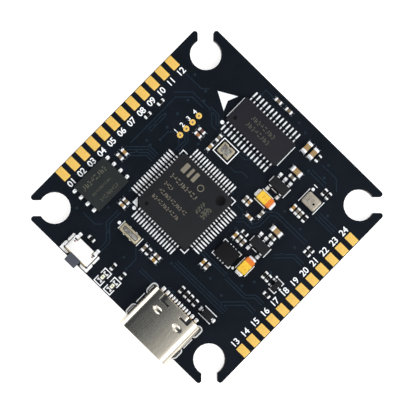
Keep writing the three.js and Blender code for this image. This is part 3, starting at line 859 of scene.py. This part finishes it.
def leadless(name, skin, radius, joints, mark=None):
    """A leadless package with solder at its terminals, each joint (x, y, width, depth)."""
    centre, size, low, high = node_box(name)
    body = Piece(name + "_body", skin, POLISHED).at(*centre.xy)
    profile = [(low, 0.02), (low + 0.03, 0), (high - 0.04, 0), (high - 0.012, 0.015), (high, 0.05)]
    body.stack(size.x, size.y, profile, radius=radius)
    if mark:
        body.carve(dimple(centre.x + mark[0], centre.y + mark[1], mark[2], high, 0.03))
    body.finish("moulding", [name], sharp=30)
    solder = Piece(name + "_joints", SOLDER)
    for x, y, width, depth in joints:
        side = 1 if x > centre.x else -1
        solder.at(x, y).dome(width, depth, -SINK, 0.2, radius=0.16)
        solder.at(centre.x + side * size.x / 2, y).block(0.03, 0.6 * depth, 0.02, 0.22, 0.01, 0.01)
    solder.finish("tin")
    return high


FLASH_ROWS = [14.88, 13.62, 12.33, 11.05]
FLASH_TEXT = [(-10.7, 14.15, 4.6, 0.85), (-10.4, 12.6, 3.6, 0.4), (-10.0, 11.3, 3.4, 0.55)]


def leadless_chips():
    joints = [(x, y, 0.72, 0.52) for x in (-11.55, -5.02) for y in FLASH_ROWS]
    high = leadless("flash_memory", FLASH_SKIN, 0.08, joints)
    marks("flash_marking", LASER_FAINT, high, FLASH_TEXT)
    joints = [(x, y, 0.24, 0.3) for x in (-4.2, -1.5) for y in (-6.1, -6.6, -7.1)]
    leadless("motion_sensor", SENSOR_SKIN, 0.06, joints, mark=(-0.85, 1.1, 0.16))


def barometer():
    centre, size, low, high = node_box("barometer_base")
    base = Piece("barometer_base", GLASS_BLACK).at(*centre.xy)
    base.block(size.x, size.y, low, high, 0.02, 0.05)
    base.finish("ceramic", ["barometer_base"])
    centre, size, low, high = node_box("barometer_lid")
    lid = Piece("barometer_lid", CAN_METAL, PAINTED_HOLE_SHADE).at(*centre.xy)
    profile = [(low, 0), (low + 0.07, 0), (low + 0.09, 0.05), (high - 0.16, 0.06), (high - 0.06, 0.09)]
    lid.stack(size.x, size.y, profile + [(high - 0.015, 0.16), (high, 0.24)], radius=0.3, segments=6)
    rows = [(centre.x - 0.6, centre.y + 0.55, 1.1, 0.5), (centre.x - 0.3, centre.y - 0.05, 0.8, 0.42)]
    marks("barometer_marking", LID_INK, high, rows)
    # The vent hole's walls take the painted shade.
    lid.carve(dimple(centre.x - 0.15, centre.y - 0.48, 0.17, high, 0.4))
    lid.finish("steel", ["barometer_lid"], sharp=45)


SEAM_EDGE = 0.05  # of a metal lid, outside its raised seam


def resonant_base(name, corner, notch, places):
    """A ceramic base with hollowed corners and notches."""
    centre, size, low, high = node_box(name + "_base")
    base = Piece(name + "_base", CERAMIC_RIM).at(*centre.xy)
    base.prism(castellated(size.x, size.y, corner, notch, places), low, high)
    base.bevel(0.03, 60)
    base.finish("ceramic", [name + "_base"], sharp=50)


def resonant_lid(name, corner, notch, places, seam_radius, groove):
    """A metal lid: a foot with the base's hollows, a raised seam and a plate, with or without a groove."""
    centre, base_size = node_box(name + "_base")[:2]
    size, low, high = node_box(name + "_lid")[1:]
    inset = (base_size.x - size.x) / 2
    step = low + 0.5 * (high - low)
    lid = Piece(name + "_lid", LID_METAL, SEAM, GROOVE).at(*centre.xy)
    hollows = max(corner - 0.4 * inset, 0.05), max(notch - 0.6 * inset, 0.04)
    lid.prism(castellated(size.x, size.y, *hollows, places), low, step, 1)
    lid.bevel(0.03, 60)
    width, depth = size.x - 2 * SEAM_EDGE, size.y - 2 * SEAM_EDGE
    lid.ring(width, depth, 0.1, step - 0.02, high, seam_radius, 1)
    plate = [(step - 0.02, 0), (high - 0.05, 0), (high - 0.03, 0.03)]
    lid.stack(width - 0.26, depth - 0.26, plate, max(seam_radius - 0.13, 0.05))
    if groove:
        band = 0.2 + groove
        lid.ring(width - band, depth - band, groove, step, high - 0.015, seam_radius - 0.08, 2)
    lid.finish("steel", [name + "_lid"], sharp=40)


def resonant_part(name, corner, notch, places, seam_radius, joints, groove=0.0):
    """A castellated ceramic base under a metal lid, with a joint (x, y, width, depth) at each corner."""
    resonant_base(name, corner, notch, places)
    resonant_lid(name, corner, notch, places, seam_radius, groove)
    centre = node_box(name + "_base")[0]
    solder = Piece(name + "_joints", SOLDER)
    for x, y, width, depth in joints:
        solder.at(centre.x + x, centre.y + y).dome(width, depth, -SINK, 0.16, radius=0.1)
    solder.finish("tin")


def resonant_parts():
    corners = [(x, y) for x in (-1, 1) for y in (-1, 1)]
    crystal_joints = [(x * 0.68, y * 0.9, 0.3, 0.3) for x, y in corners]
    resonant_part("crystal", 0.16, 0.2, [0], 0.14, crystal_joints)
    resonator_joints = [(x * 0.7, y * 0.6, 0.18, 0.34) for x, y in corners]
    resonant_part("resonator", 0.1, 0.09, [-0.6, 0.6], 0.36, resonator_joints, groove=0.07)


TANTALUM_DRAFT = 0.07  # how far the case's sides and ends lean in
TANTALUM_EDGE = 0.06  # of the case's soft top edges
TANTALUM_BAND = 0.7  # length of the band at the positive end


def along_part(size, turn):
    """The length and width of a part's box, when the part is turned by quarters."""
    return (size.x, size.y) if turn % 180 == 0 else (size.y, size.x)


def tantalum_case(name, turn):
    centre, size, low, high = node_box(name + "_body")
    length, width = along_part(size, turn)
    end, middle = length / 2, (low + high) / 2
    draft, edge = TANTALUM_DRAFT, TANTALUM_EDGE
    stations = [(-end, draft), (-end + draft, 0), (end - TANTALUM_BAND, 0), (end - draft, 0), (end, draft)]
    rings = []
    for x, tuck in stations:
        half = width / 2 - tuck
        top, bottom = high - tuck, low + tuck
        side = [(half - draft, bottom), (half, middle)]
        side += [(half - draft, top - edge), (half - draft - edge, top)]
        rings.append([(x, v, z) for v, z in side + [(-v, z) for v, z in side[::-1]]])
    case = Piece(name + "_body", YELLOW, ORANGE).at(*centre.xy, turn=turn)
    case.loft(rings, [0, 0, 1, 1])
    case.finish("tantalum_case", [name + "_body"], sharp=25)
    return high


def tantalum(name, turn):
    """A moulded capacitor: yellow case, an orange band at its positive end and a tab at each end."""
    high = tantalum_case(name, turn)
    for end, half_turn in (("anode", 0), ("cathode", 180)):
        node = f"{name}_{end}"
        centre, size, low, top = node_box(node)
        length, width = along_part(size, turn)
        tab = Piece(node, TIN, SOLDER).at(*centre.xy, turn=turn + half_turn)
        tab.block(length, width, low, top, 0.05, 0.08)
        tab.fillet(length / 2 - 0.03, length / 2 + 0.16, width, 0.4, material=1)
        tab.finish("tin", [node])
    return high


def tantalums():
    high = tantalum("tantalum_left", 0)
    tantalum("tantalum_right", 270)
    for name, x, y in (("tantalum_left", -3.05, -9.45), ("tantalum_right", 6.1, -4.7)):
        rows = [(x, y, 0.7, 0.34), (x + 0.05, y - 0.5, 0.55, 0.3)]
        marks(name + "_marking", MARK_BROWN, high, rows)


# ---------------------------------------------------------------------------------------------------
# Two-ended chip parts. Sizes are length, width, height, terminal and pad reach past the end.

SMALL = (1.0, 0.5, 0.5, 0.23, 0.09)
LARGE = (1.6, 0.8, 0.8, 0.36, 0.14)
THIN = (1.0, 0.5, 0.35, 0.22, 0.08)
SMALL_TINTS = (
    "tan brown brown gold orange red tan grey gold brown brown gold brown gold tan grey brown brown"
).split()
# Parts that CAD leaves to this script, as (x, y, turn).
MORE_CAPACITORS = {
    "grey": [
        (-0.15, -6.4, 0), (4.5, -3.1, 0), (3.3, -9.57, 90), (11.35, -5.65, 90), (8.4, -9.55, 0),
        (8.4, -10.2, 0),
    ],
    "brown": [(-0.15, -7.15, 0)],
    "tan": [(4.5, -3.78, 0)],
    "gold": [(8.4, -8.8, 0)],
}
RESISTORS = [
    (-10.4, 1.5, 0), (1.0, -6.4, 90), (15.85, -6.45, 0), (8.4, -11.05, 0), (13.05, -10.4, 0),
    (13.05, -11.2, 0), (-1.25, -12.55, 0), (-1.25, -13.25, 0), (-3.1, -14.7, 90), (5.1, -14.7, 90),
    (5.85, -14.7, 90), (3.3, 15.05, 0), (5.9, 15.05, 0), (-15.4, 3.55, 0), (-15.4, 1.7, 0),
    (-14.72, 8.5, 90), (-10.95, -5.6, 0), (-10.95, -6.57, 0), (-10.95, -7.35, 0), (-10.95, -8.28, 0),
]


def chip_part(name, x, y, turn, sizes, core, glass=None, replaces=()):
    """A chip part: a core between two tinned caps, with solder running down to the pads."""
    length, width, height, terminal, reach = sizes
    part = Piece(name, core, TIN, SOLDER, *([glass] if glass else [])).at(x, y, turn=turn)
    part.block(length - 0.04, width - 0.04, PAD, height - 0.015, 0.03, 0.05)
    if glass:
        bare = length - 2 * terminal + 0.06
        part.block(bare, width - 0.05, height - 0.06, height, 0.015, 0.03, material=3)
    for half_turn in (0, 180):
        part.at(x, y, turn=turn + half_turn).moved((length - terminal) / 2)
        part.block(terminal, width, 0.6 * PAD, height + 0.005, 0.045, 0.06, material=1)
        part.fillet(terminal / 2 - 0.03, terminal / 2 + reach, 0.96 * width, 0.62 * height, material=2)
        part.moved((reach - 0.05) / 2)
        part.stack(terminal + reach + 0.05, width + 0.05, FLAT_PAD, 0.06, material=2)
    part.finish("ceramic", replaces, sharp=40)


def footprint_ticks(piece, x, y, turn, length, width):
    """Four short printed bars past the corners of a chip part."""
    piece.at(x, y, turn=turn)
    for side in (-1, 1):
        for across in (-1, 1):
            place, middle = side * (length / 2 + 0.26), across * width / 2
            piece.line([(place, middle + 0.06), (place, middle - 0.06)], 0.08)


def node_capacitor(ticks, node, sizes, tint):
    centre, size = node_box(node)[:2]
    turn = 0 if size.x > size.y else 90
    chip_part(node, centre.x, centre.y, turn, sizes, CERAMICS[tint], replaces=[node])
    footprint_ticks(ticks, centre.x, centre.y, turn, *sizes[:2])


def chip_parts():
    ticks = Piece("legend_ticks", FAINT_LEGEND)
    for i, tint in enumerate(SMALL_TINTS, 1):
        node_capacitor(ticks, f"small_capacitor_{i:02d}", SMALL, tint)
    for i in range(1, 5):
        node_capacitor(ticks, f"large_capacitor_{i:02d}", LARGE, "tan")
    number = len(SMALL_TINTS)
    for tint, places in MORE_CAPACITORS.items():
        for place in places:
            number += 1
            chip_part(f"small_capacitor_{number:02d}", *place, SMALL, CERAMICS[tint])
    for i, place in enumerate(RESISTORS, 1):
        chip_part(f"resistor_{i:02d}", *place, THIN, ALUMINA, glass=GLASS_BLACK)
    ticks.finish("silkscreen")


LAMP_NOTCH = 0.2  # radius of the hollow in each end
LAMP_CAP = 0.34  # length of a cap
LAMP_BRACKET = (1.14, 0.6, 0.24)  # reach along X, half width, and where its arms end


def indicator(node):
    """A small lamp: a notched tin cap at each end and a clear body with a yellow spot in it."""
    centre, size, low, high = node_box(node)
    light = Piece(node, LENS, TIN, NYLON, PHOSPHOR).at(*centre.xy)
    x, y = size.x / 2, size.y / 2
    side = [(x, -y)] + arc(x, 0, LAMP_NOTCH, 270, 90, 8) + [(x, y)]
    light.prism(side + [(-a, -b) for a, b in side], low, 0.22, 2)
    for turn in (0, 180):
        light.at(*centre.xy, turn=turn)
        light.prism(side + [(x - LAMP_CAP, y), (x - LAMP_CAP, -y)], 0.215, 0.3, 1)
    light.at(*centre.xy)
    light.stack(0.7, size.y - 0.3, [(0.2, 0), (high - 0.08, 0.02), (high - 0.02, 0.07)], 0.1)
    light.dome(0.24, 0.22, high - 0.03, high, material=3)
    light.finish("lens", [node], sharp=40)
    return centre


def indicators():
    brackets = Piece("legend_indicators", LEGEND)
    end, half, arm = LAMP_BRACKET
    for i in (1, 2):
        centre = indicator(f"indicator_light_{i:02d}")
        brackets.at(*centre.xy)
        for side in (-1, 1):
            points = [(side * arm, half), (side * end, half), (side * end, -half), (side * arm, -half)]
            brackets.line(points, WIDE_LINE)
    brackets.finish("silkscreen")


# ---------------------------------------------------------------------------------------------------
# Receptacle

USB_CENTRE, USB_SIZE, USB_LOW, USB_ROOF = node_box("usb_shell")
USB_REAR = USB_CENTRE.x + USB_SIZE.x / 2
USB_FLOOR = 0.02  # height of the shell's underside
USB_MIDDLE = (USB_ROOF + USB_FLOOR) / 2
USB_CORNER = 1.3
USB_WALL = 0.3
USB_CROWN = 0.2  # how much the roof rises towards its middle
USB_STEPS = 24  # divisions along the shell
# The two slots that make an opening in the roof: ends from the rear edge, and sides from the middle line.
USB_SLOTS = [(-1.1, -0.75, 1.1, 2.65), (-1.1, 0.5, 2.1, 2.65)]
USB_DIMPLES = [(-2.3, 1.85), (-2.3, -1.9)]  # from the rear edge and the middle line
USB_DIMPLE = (0.72, 1.2, 0.52)  # how a ball is stretched along X and Y, and its half height
USB_DIMPLE_RISE = 0.34  # of the ball's middle above the roof
USB_LEGS = [
    (x, USB_CENTRE.y + side * (USB_SIZE.y / 2 - USB_WALL / 2)) for x in (-17.85, -13.75) for side in (-1, 1)
]
LEG_RING = (1.95, 1.2, 0.2)  # length, width and band of the solder round a leg
LEG_HOLE = (1.44, 0.64)  # length and width of the filled hole
# Solder on each face of the board: height, direction, height of the rim, and profile of the filled hole.
LEG_SOLDER = [
    (TOP, 1, 0.08, [(-0.7, 0), (-0.2, 0), (-0.05, 0.1)]),
    (0, -1, PAD, [(-0.45, 0), (-0.3, 0), (-0.2, 0.12)]),
]
USB_TONGUE = 0.35  # half the tongue's thickness
USB_TAILS = [-3.2, -2.4, *evenly(8, 0.5), 2.4, 3.2]


def usb_section(x, inset):
    """The outline of the shell across X, with a roof that rises towards its middle."""
    height = USB_ROOF - USB_FLOOR
    ring = []
    for p in rounded(USB_SIZE.y - 2 * inset, height - 2 * inset, USB_CORNER - inset, 0, 8, 18):
        sag = USB_CROWN * (2 * p.x / USB_SIZE.y) ** 2 if p.y > 0 else 0
        ring.append((x, p.x, USB_MIDDLE + p.y - sag))
    return ring


def usb_cutters():
    """Tools for the openings at the rear of the roof, then for its two round dimples."""
    for side in (-1, 1):
        for start, end, near, far in USB_SLOTS:
            cutter = Piece("cutter", STEEL)
            cutter.at(USB_REAR + (start + end) / 2, USB_CENTRE.y + side * (near + far) / 2)
            cutter.stack(end - start, far - near, [(USB_MIDDLE, 0), (USB_ROOF + 1, 0)], radius=0.05)
            yield cutter
    length, width, depth = USB_DIMPLE
    for x, y in USB_DIMPLES:
        cutter = Piece("cutter", STEEL)
        cutter.at(USB_REAR + x, USB_CENTRE.y + y, TOP + USB_ROOF + USB_DIMPLE_RISE)
        rings = []
        for i in range(1, 12):
            angle = math.pi * i / 12
            spread, z = math.sin(angle), -depth * math.cos(angle)
            rings.append([(length * p.x * spread, width * p.y * spread, z) for p in circle(0.9)])
        cutter.loft(rings)
        yield cutter


def usb_shell():
    front, lip = USB_CENTRE.x - USB_SIZE.x / 2, 0.05
    along = [front + lip + (USB_REAR - front - 2 * lip) * i / USB_STEPS for i in range(USB_STEPS + 1)]
    stations = [(front, 2 * lip), (front, lip)] + [(x, 0) for x in along] + [(USB_REAR, lip)]
    stations += [(x, USB_WALL) for x in [USB_REAR] + along[::-1] + [front]]
    shell = Piece("usb_shell", STEEL).at(0, USB_CENTRE.y)
    shell.loft([usb_section(x, inset) for x, inset in stations], closed=True)
    for cutter in usb_cutters():
        shell.carve(cutter)
    shell.bevel(0.035, 40)
    for x, y in USB_LEGS:
        shell.at(x, y)
        shell.stack(1.0, USB_WALL, [(USB_LOW, 0.08), (USB_LOW + 0.2, 0), (USB_MIDDLE, 0)], radius=0.06)
    shell.finish("steel", ["usb_shell"], sharp=32)


def usb_leg_joints():
    """Solder round the legs on both faces of the board, and in the holes round them."""
    seams = Piece("usb_leg_joints", SOLDER)
    for x, y in USB_LEGS:
        for z, sign, rim, plug in LEG_SOLDER:
            seams.at(x, y, z)
            seams.place = seams.place @ Matrix.Diagonal((1, 1, sign, 1))
            seams.ring(*LEG_RING, -SINK, rim, 0.55)
            seams.stack(*LEG_HOLE, plug, radius=0.3)
    seams.finish("tin")


def usb_inside():
    """The housing that shows through the openings, and the contacts on both sides of the tongue."""
    paint("usb_insulator", NYLON)
    housing = Piece("usb_rear_housing", NYLON).at(USB_REAR - 1.05, USB_CENTRE.y)
    housing.block(1.4, 6.2, USB_ROOF - 0.85, USB_ROOF - 0.45, 0.03, 0.1)
    housing.finish("housing_plastic")
    centre, size = node_box("usb_insulator")[:2]
    front = centre.x - size.x / 2
    strips = Piece("usb_tongue_contacts", CONTACT_GOLD)
    for level in (USB_MIDDLE + USB_TONGUE, USB_MIDDLE - USB_TONGUE):
        for offset in evenly(12, 0.5):
            strips.at(front + 2.1, USB_CENTRE.y + offset)
            strips.block(3.4, 0.28, level - 0.02, level + 0.02, 0.008, 0.03)
    strips.finish("gold")


def usb_tails():
    """The contacts' tails behind the shell, soldered to their pads."""
    centre, size = node_box("usb_contacts")[:2]
    start, end = centre.x - size.x / 2, centre.x + size.x / 2
    path = filleted([(start + 0.08, 0.9), (start + 0.08, 0.11), (end - 0.1, 0.11)], 0.06)
    kinds = [2 if point.z > 0.15 else 0 for point in path[:-1]]
    tails = Piece("usb_contacts", TIN, SOLDER, CONTACT_GOLD)
    for offset in USB_TAILS:
        width = 0.46 if abs(offset) > 2 else 0.27
        tails.at(0, USB_CENTRE.y + offset)
        tails.strip(path, width - 0.06, 0.12, kinds)
        tails.at((start + end) / 2 + 0.14, USB_CENTRE.y + offset)
        tails.stack(0.66, width + 0.04, [(-SINK, 0), (PAD, 0), (0.06, 0.04)], 0.13, material=1)
    tails.finish("tin", ["usb_contacts"])


def receptacle():
    usb_shell()
    usb_leg_joints()
    usb_inside()
    usb_tails()


# ---------------------------------------------------------------------------------------------------
# Side button

SWITCH, _, _, SWITCH_TOP = node_box("switch_base")
COVER_THICKNESS = 0.12
COVER_FOOT = 0.42  # how far the feet reach past the cover's sides
COVER_HALF = node_box("switch_cover")[1].y / 2 - COVER_FOOT
COVER_LEGS = [(-1.04, -0.3), (-0.15, 1.14)]  # from the switch's middle, along X
COVER_NOTCH = (0.62, 1.72, 0.8)  # start along X, middle across and width of the openings at the terminals
COVER_RIVETS = [(0.42, 1.62), (0.46, -1.68)]
RECESS_SIZE = (0.58, 0.44)  # of the dark slab of painted shade that each opening shows
TERMINAL_TOP = 1.42  # where the terminals show through the cover
SWITCH_PAD_OUTLINE = [
    (-1.66, 2.64), (-0.4, 2.64), (-0.4, 2.4), (-1.1, 2.36), (-1.3, 2.16), (-1.3, 1.1), (-1.66, 1.35),
]
PLUNGER_WIDTH = 1.9  # of its stem
PLUNGER_FLANGE = 1.93  # from the tip to the flange's middle
NOSE_GAP = 0.26  # the dome is rigid here, so the nose ends short of the CAD one by just over its travel


def switch_cover():
    """The sprung plate over the switch, with its notches, four legs, their feet and two rivets."""
    centre, size, _, high = node_box("switch_cover")
    cover = Piece("switch_cover", BRIGHT_STEEL, RIVET, PAINTED_BEND_SHADE).at(centre.x + 0.03, centre.y)
    plate = [(high - COVER_THICKNESS, 0), (high - 0.06, 0), (high - 0.02, 0.02), (high, 0.07)]
    cover.stack(size.x + 0.06, 2 * COVER_HALF, plate, radius=0.16, segments=4)
    start, middle, width = COVER_NOTCH
    for side in (-1, 1):
        cutter = Piece("cutter", BRIGHT_STEEL).at(SWITCH.x + start + 1, SWITCH.y + side * middle)
        cutter.stack(2, width, [(high - 0.5, 0), (high + 1, 0)], radius=0.12)
        cover.carve(cutter)

    wall, roof = COVER_HALF - COVER_THICKNESS / 2, high - COVER_THICKNESS / 2
    corners = [(COVER_HALF - 0.2, roof), (wall, roof), (wall, 0.08), (COVER_HALF + 0.16, 0.08)]
    leg = filleted(corners, 0.06)
    # The lower part of each leg takes the painted shade of the bend.
    kinds = [2 if point.z < 0.3 else 0 for point in leg[:-1]]
    foot = [Vector((COVER_HALF + reach, 0, 0.08)) for reach in (0.15, COVER_FOOT)]
    for start, end in COVER_LEGS:
        for turn in (90, -90):
            cover.at(SWITCH.x + (start + end) / 2, centre.y, turn=turn)
            cover.strip(leg, end - start, COVER_THICKNESS, kinds)
            cover.strip(foot, end - start, COVER_THICKNESS)
    for x, y in COVER_RIVETS:
        cover.at(SWITCH.x + x, SWITCH.y + y)
        cover.dome(0.36, 0.36, high - 0.03, high + 0.015, material=1)
    cover.finish("steel", ["switch_cover"], sharp=40)


def switch_recess():
    """A dark slab of painted shade for the inside of the switch, which shows through the cover's notches."""
    recess = Piece("switch_recess", PAINTED_HOLE_SHADE)
    start, middle, _ = COVER_NOTCH
    length, width = RECESS_SIZE
    for side in (-1, 1):
        recess.at(SWITCH.x + start + length / 2, SWITCH.y + side * middle)
        recess.stack(length, width, [(SWITCH_TOP - 0.05, 0), (SWITCH_TOP + 0.01, 0)], 0.05)
    recess.finish("moulding")


def switch_joints():
    """Solder at the cover's feet, and the pads beside them in white legend ink, painted light that lifts
    them out of the switch's shade. The terminals add their own.
    """
    middle = node_box("switch_cover")[0].y
    joints = Piece("switch_joints", SOLDER, LEGEND)
    for start, end in COVER_LEGS:
        for turn in (90, -90):
            joints.at(SWITCH.x + (start + end) / 2, middle, turn=turn)
            joints.fillet(COVER_HALF + 0.16, COVER_HALF + COVER_FOOT + 0.05, end - start + 0.1, 0.2)
    joints.at(SWITCH.x, SWITCH.y)
    for side in (-1, 1):
        # The pads take the white legend ink as painted light against the switch's shade.
        joints.prism([(x, side * y) for x, y in SWITCH_PAD_OUTLINE], -SINK, PAD, 1)
    return joints


def switch_terminals(joints):
    for i in (1, 2):
        node = f"switch_terminal_{i}"
        centre, size = node_box(node)[:2]
        start, end = centre.x - size.x / 2, centre.x + size.x / 2
        inner = SWITCH.x + COVER_NOTCH[0] + 0.22
        corners = [(inner, TERMINAL_TOP), (start + 0.07, TERMINAL_TOP), (start + 0.07, 0.1), (end, 0.1)]
        terminal = Piece(node, TIN).at(0, centre.y)
        terminal.strip(filleted(corners, 0.08), size.y, 0.12)
        terminal.finish("tin", [node])
        joints.at(end - 0.06, centre.y).fillet(0, 0.26, size.y + 0.06, 0.17)


def switch_plunger():
    """Built like its CAD node: a stem through the front wall, a flange and a nose."""
    centre, size, low, high = node_box("switch_plunger")
    tip = centre.x - size.x / 2
    middle, height = (high + low) / 2, high - low
    rings = []
    for along, inset in [(0, 0.1), (0.03, 0.03), (0.1, 0), (1.8, 0)]:
        outline = rounded(PLUNGER_WIDTH - 2 * inset, height - 2 * inset, 0.1)
        rings.append([(tip + along, p.x, middle + p.y) for p in outline])
    plunger = Piece("switch_plunger", PLUNGER).at(0, centre.y)
    plunger.loft(rings)
    flange, nose = tip + PLUNGER_FLANGE, tip + size.x - NOSE_GAP
    plunger.at(flange, centre.y).block(0.3, size.y, low, high, 0.03, 0.05)
    plunger.at((flange + nose) / 2, centre.y).block(nose - flange, 0.6, low, high, 0.03, 0.05)
    plunger.finish("button_plastic", ["switch_plunger"], body="plunger", sharp=35)


def side_button():
    paint("switch_base", CREAM_PLASTIC)
    paint("switch_dome", BRIGHT_STEEL)
    switch_cover()
    switch_recess()
    joints = switch_joints()
    switch_terminals(joints)
    joints.finish("tin")
    switch_plunger()


# ---------------------------------------------------------------------------------------------------
# Studio

TARGET = Vector((-0.107, -0.195, 1.6)) * MM  # the point that the camera looks at
CAMERA_DISTANCE = 0.35  # metres
CAMERA_TILT, CAMERA_AZIMUTH, CAMERA_UP = 3.625, 165.3, 44.385  # degrees
FOCAL_LENGTH = 214.4
DARK_PATCH = Vector((0.02, 0.58, 1)).normalized()  # the middle of the dark part of the sky
# The sky's brightness by the angle from the dark patch's middle, in degrees.
SKY = [(0, 0.06), (26, 0.07), (29, 0.09), (32, 0.18), (36.5, 0.38), (41, 0.75), (48, 1.1), (62, 1.15),
       (84, 0.8), (180, 0.9)]
SKY_SHADE = (0.84, 0.98, 1.14)  # tint of the dark part of the sky
SHADE_LEVEL = 0.2  # brightness below which the sky has that tint
SOFTBOX_SIZE = 0.35  # metres
SOFTBOX_DISTANCE = 0.6  # metres


def direction(azimuth, elevation):
    """The unit vector at two angles, in degrees."""
    a, e = math.radians(azimuth), math.radians(elevation)
    return Vector((math.cos(e) * math.cos(a), math.cos(e) * math.sin(a), math.sin(e)))


def camera():
    toward = direction(CAMERA_AZIMUTH, 90 - CAMERA_TILT)
    right = direction(CAMERA_UP, 0).cross(toward).normalized()
    matrix = Matrix((right, toward.cross(right), toward)).transposed().to_4x4()
    matrix.translation = TARGET + toward * CAMERA_DISTANCE
    data = bpy.data.cameras.new("camera")
    data.lens = FOCAL_LENGTH
    data.sensor_width = 36
    data.clip_start = 0.01
    holder = placed("camera", data)
    holder.matrix_world = matrix
    bpy.context.scene.camera = holder


def sky():
    """A ramp of greys round a dark patch, which the mask and the metal reflect."""
    world = bpy.data.worlds.new("studio")
    bpy.context.scene.world = world
    world.use_nodes = True
    nodes, links = world.node_tree.nodes, world.node_tree.links

    def computed(kind, operation, first, second=None):
        node = nodes.new(kind)
        node.operation = operation
        links.new(first, node.inputs[0])
        if second is not None:
            node.inputs[1].default_value = second
        return node.outputs

    way = nodes.new("ShaderNodeTexCoord").outputs["Generated"]
    cosine = computed("ShaderNodeVectorMath", "DOT_PRODUCT", way, DARK_PATCH)["Value"]
    angle = computed("ShaderNodeMath", "ARCCOSINE", cosine)[0]
    share = computed("ShaderNodeMath", "DIVIDE", angle, math.pi)[0]
    ramp = nodes.new("ShaderNodeValToRGB")
    links.new(share, ramp.inputs["Fac"])
    elements = ramp.color_ramp.elements
    while len(elements) < len(SKY):
        elements.new(1)
    brightest = max(level for _, level in SKY)
    for element, (degrees, level) in zip(elements, SKY):
        element.position = degrees / 180
        tint = SKY_SHADE if level < SHADE_LEVEL else (1, 1, 1)
        element.color = [level / brightest * part for part in tint] + [1]
    links.new(ramp.outputs["Color"], nodes["Background"].inputs["Color"])
    nodes["Background"].inputs["Strength"].default_value = brightest


def softbox(name, azimuth, elevation, power):
    data = bpy.data.lights.new(name, "AREA")
    data.shape = "SQUARE"
    data.size = SOFTBOX_SIZE
    data.energy = power
    light = placed(name, data)
    toward = direction(azimuth, elevation)
    light.location = toward * SOFTBOX_DISTANCE
    light.rotation_euler = toward.to_track_quat("Z", "Y").to_euler()
    light.visible_camera = False


def floor():
    finish = Finish("studio_floor", specular=0.2)
    cloud = finish.noise(60, 3)
    tint = finish.ramp(cloud, (0.3, linear((216, 216, 216))), (0.7, linear((220, 220, 220))))
    finish.shade(tint, 0.8)
    finish.set(finish.shader, "Emission Color", (1, 1, 1, 1))
    finish.set(finish.shader, "Emission Strength", 0.75)
    builder = bmesh.new()
    bmesh.ops.create_grid(builder, x_segments=4, y_segments=4, size=1.5)
    mesh = bpy.data.meshes.new("floor")
    builder.to_mesh(mesh)
    builder.free()
    mesh.transform(Matrix.Translation((0, 0, -0.05 * MM)))
    mesh.materials.append(finish.material)
    plane = placed("floor", mesh)
    plane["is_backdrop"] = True


def studio():
    camera()
    sky()
    softbox("key_rear", -80, 48, 1.5)
    softbox("fill_left", 170, 35, 0.7)
    softbox("fill_right", 20, 35, 0.7)
    softbox("fill_front", 92, 16, 0.9)
    floor()
    bpy.context.scene.view_settings.view_transform = "Standard"


board()
processor()
overlay_chip()
regulators()
small_leaded_parts()
leadless_chips()
barometer()
resonant_parts()
tantalums()
chip_parts()
indicators()
receptacle()
side_button()
studio()

boxes = {"cad": cad_bounds, "visual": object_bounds()}
{name: [list(corner) for corner in box] for name, box in boxes.items()}
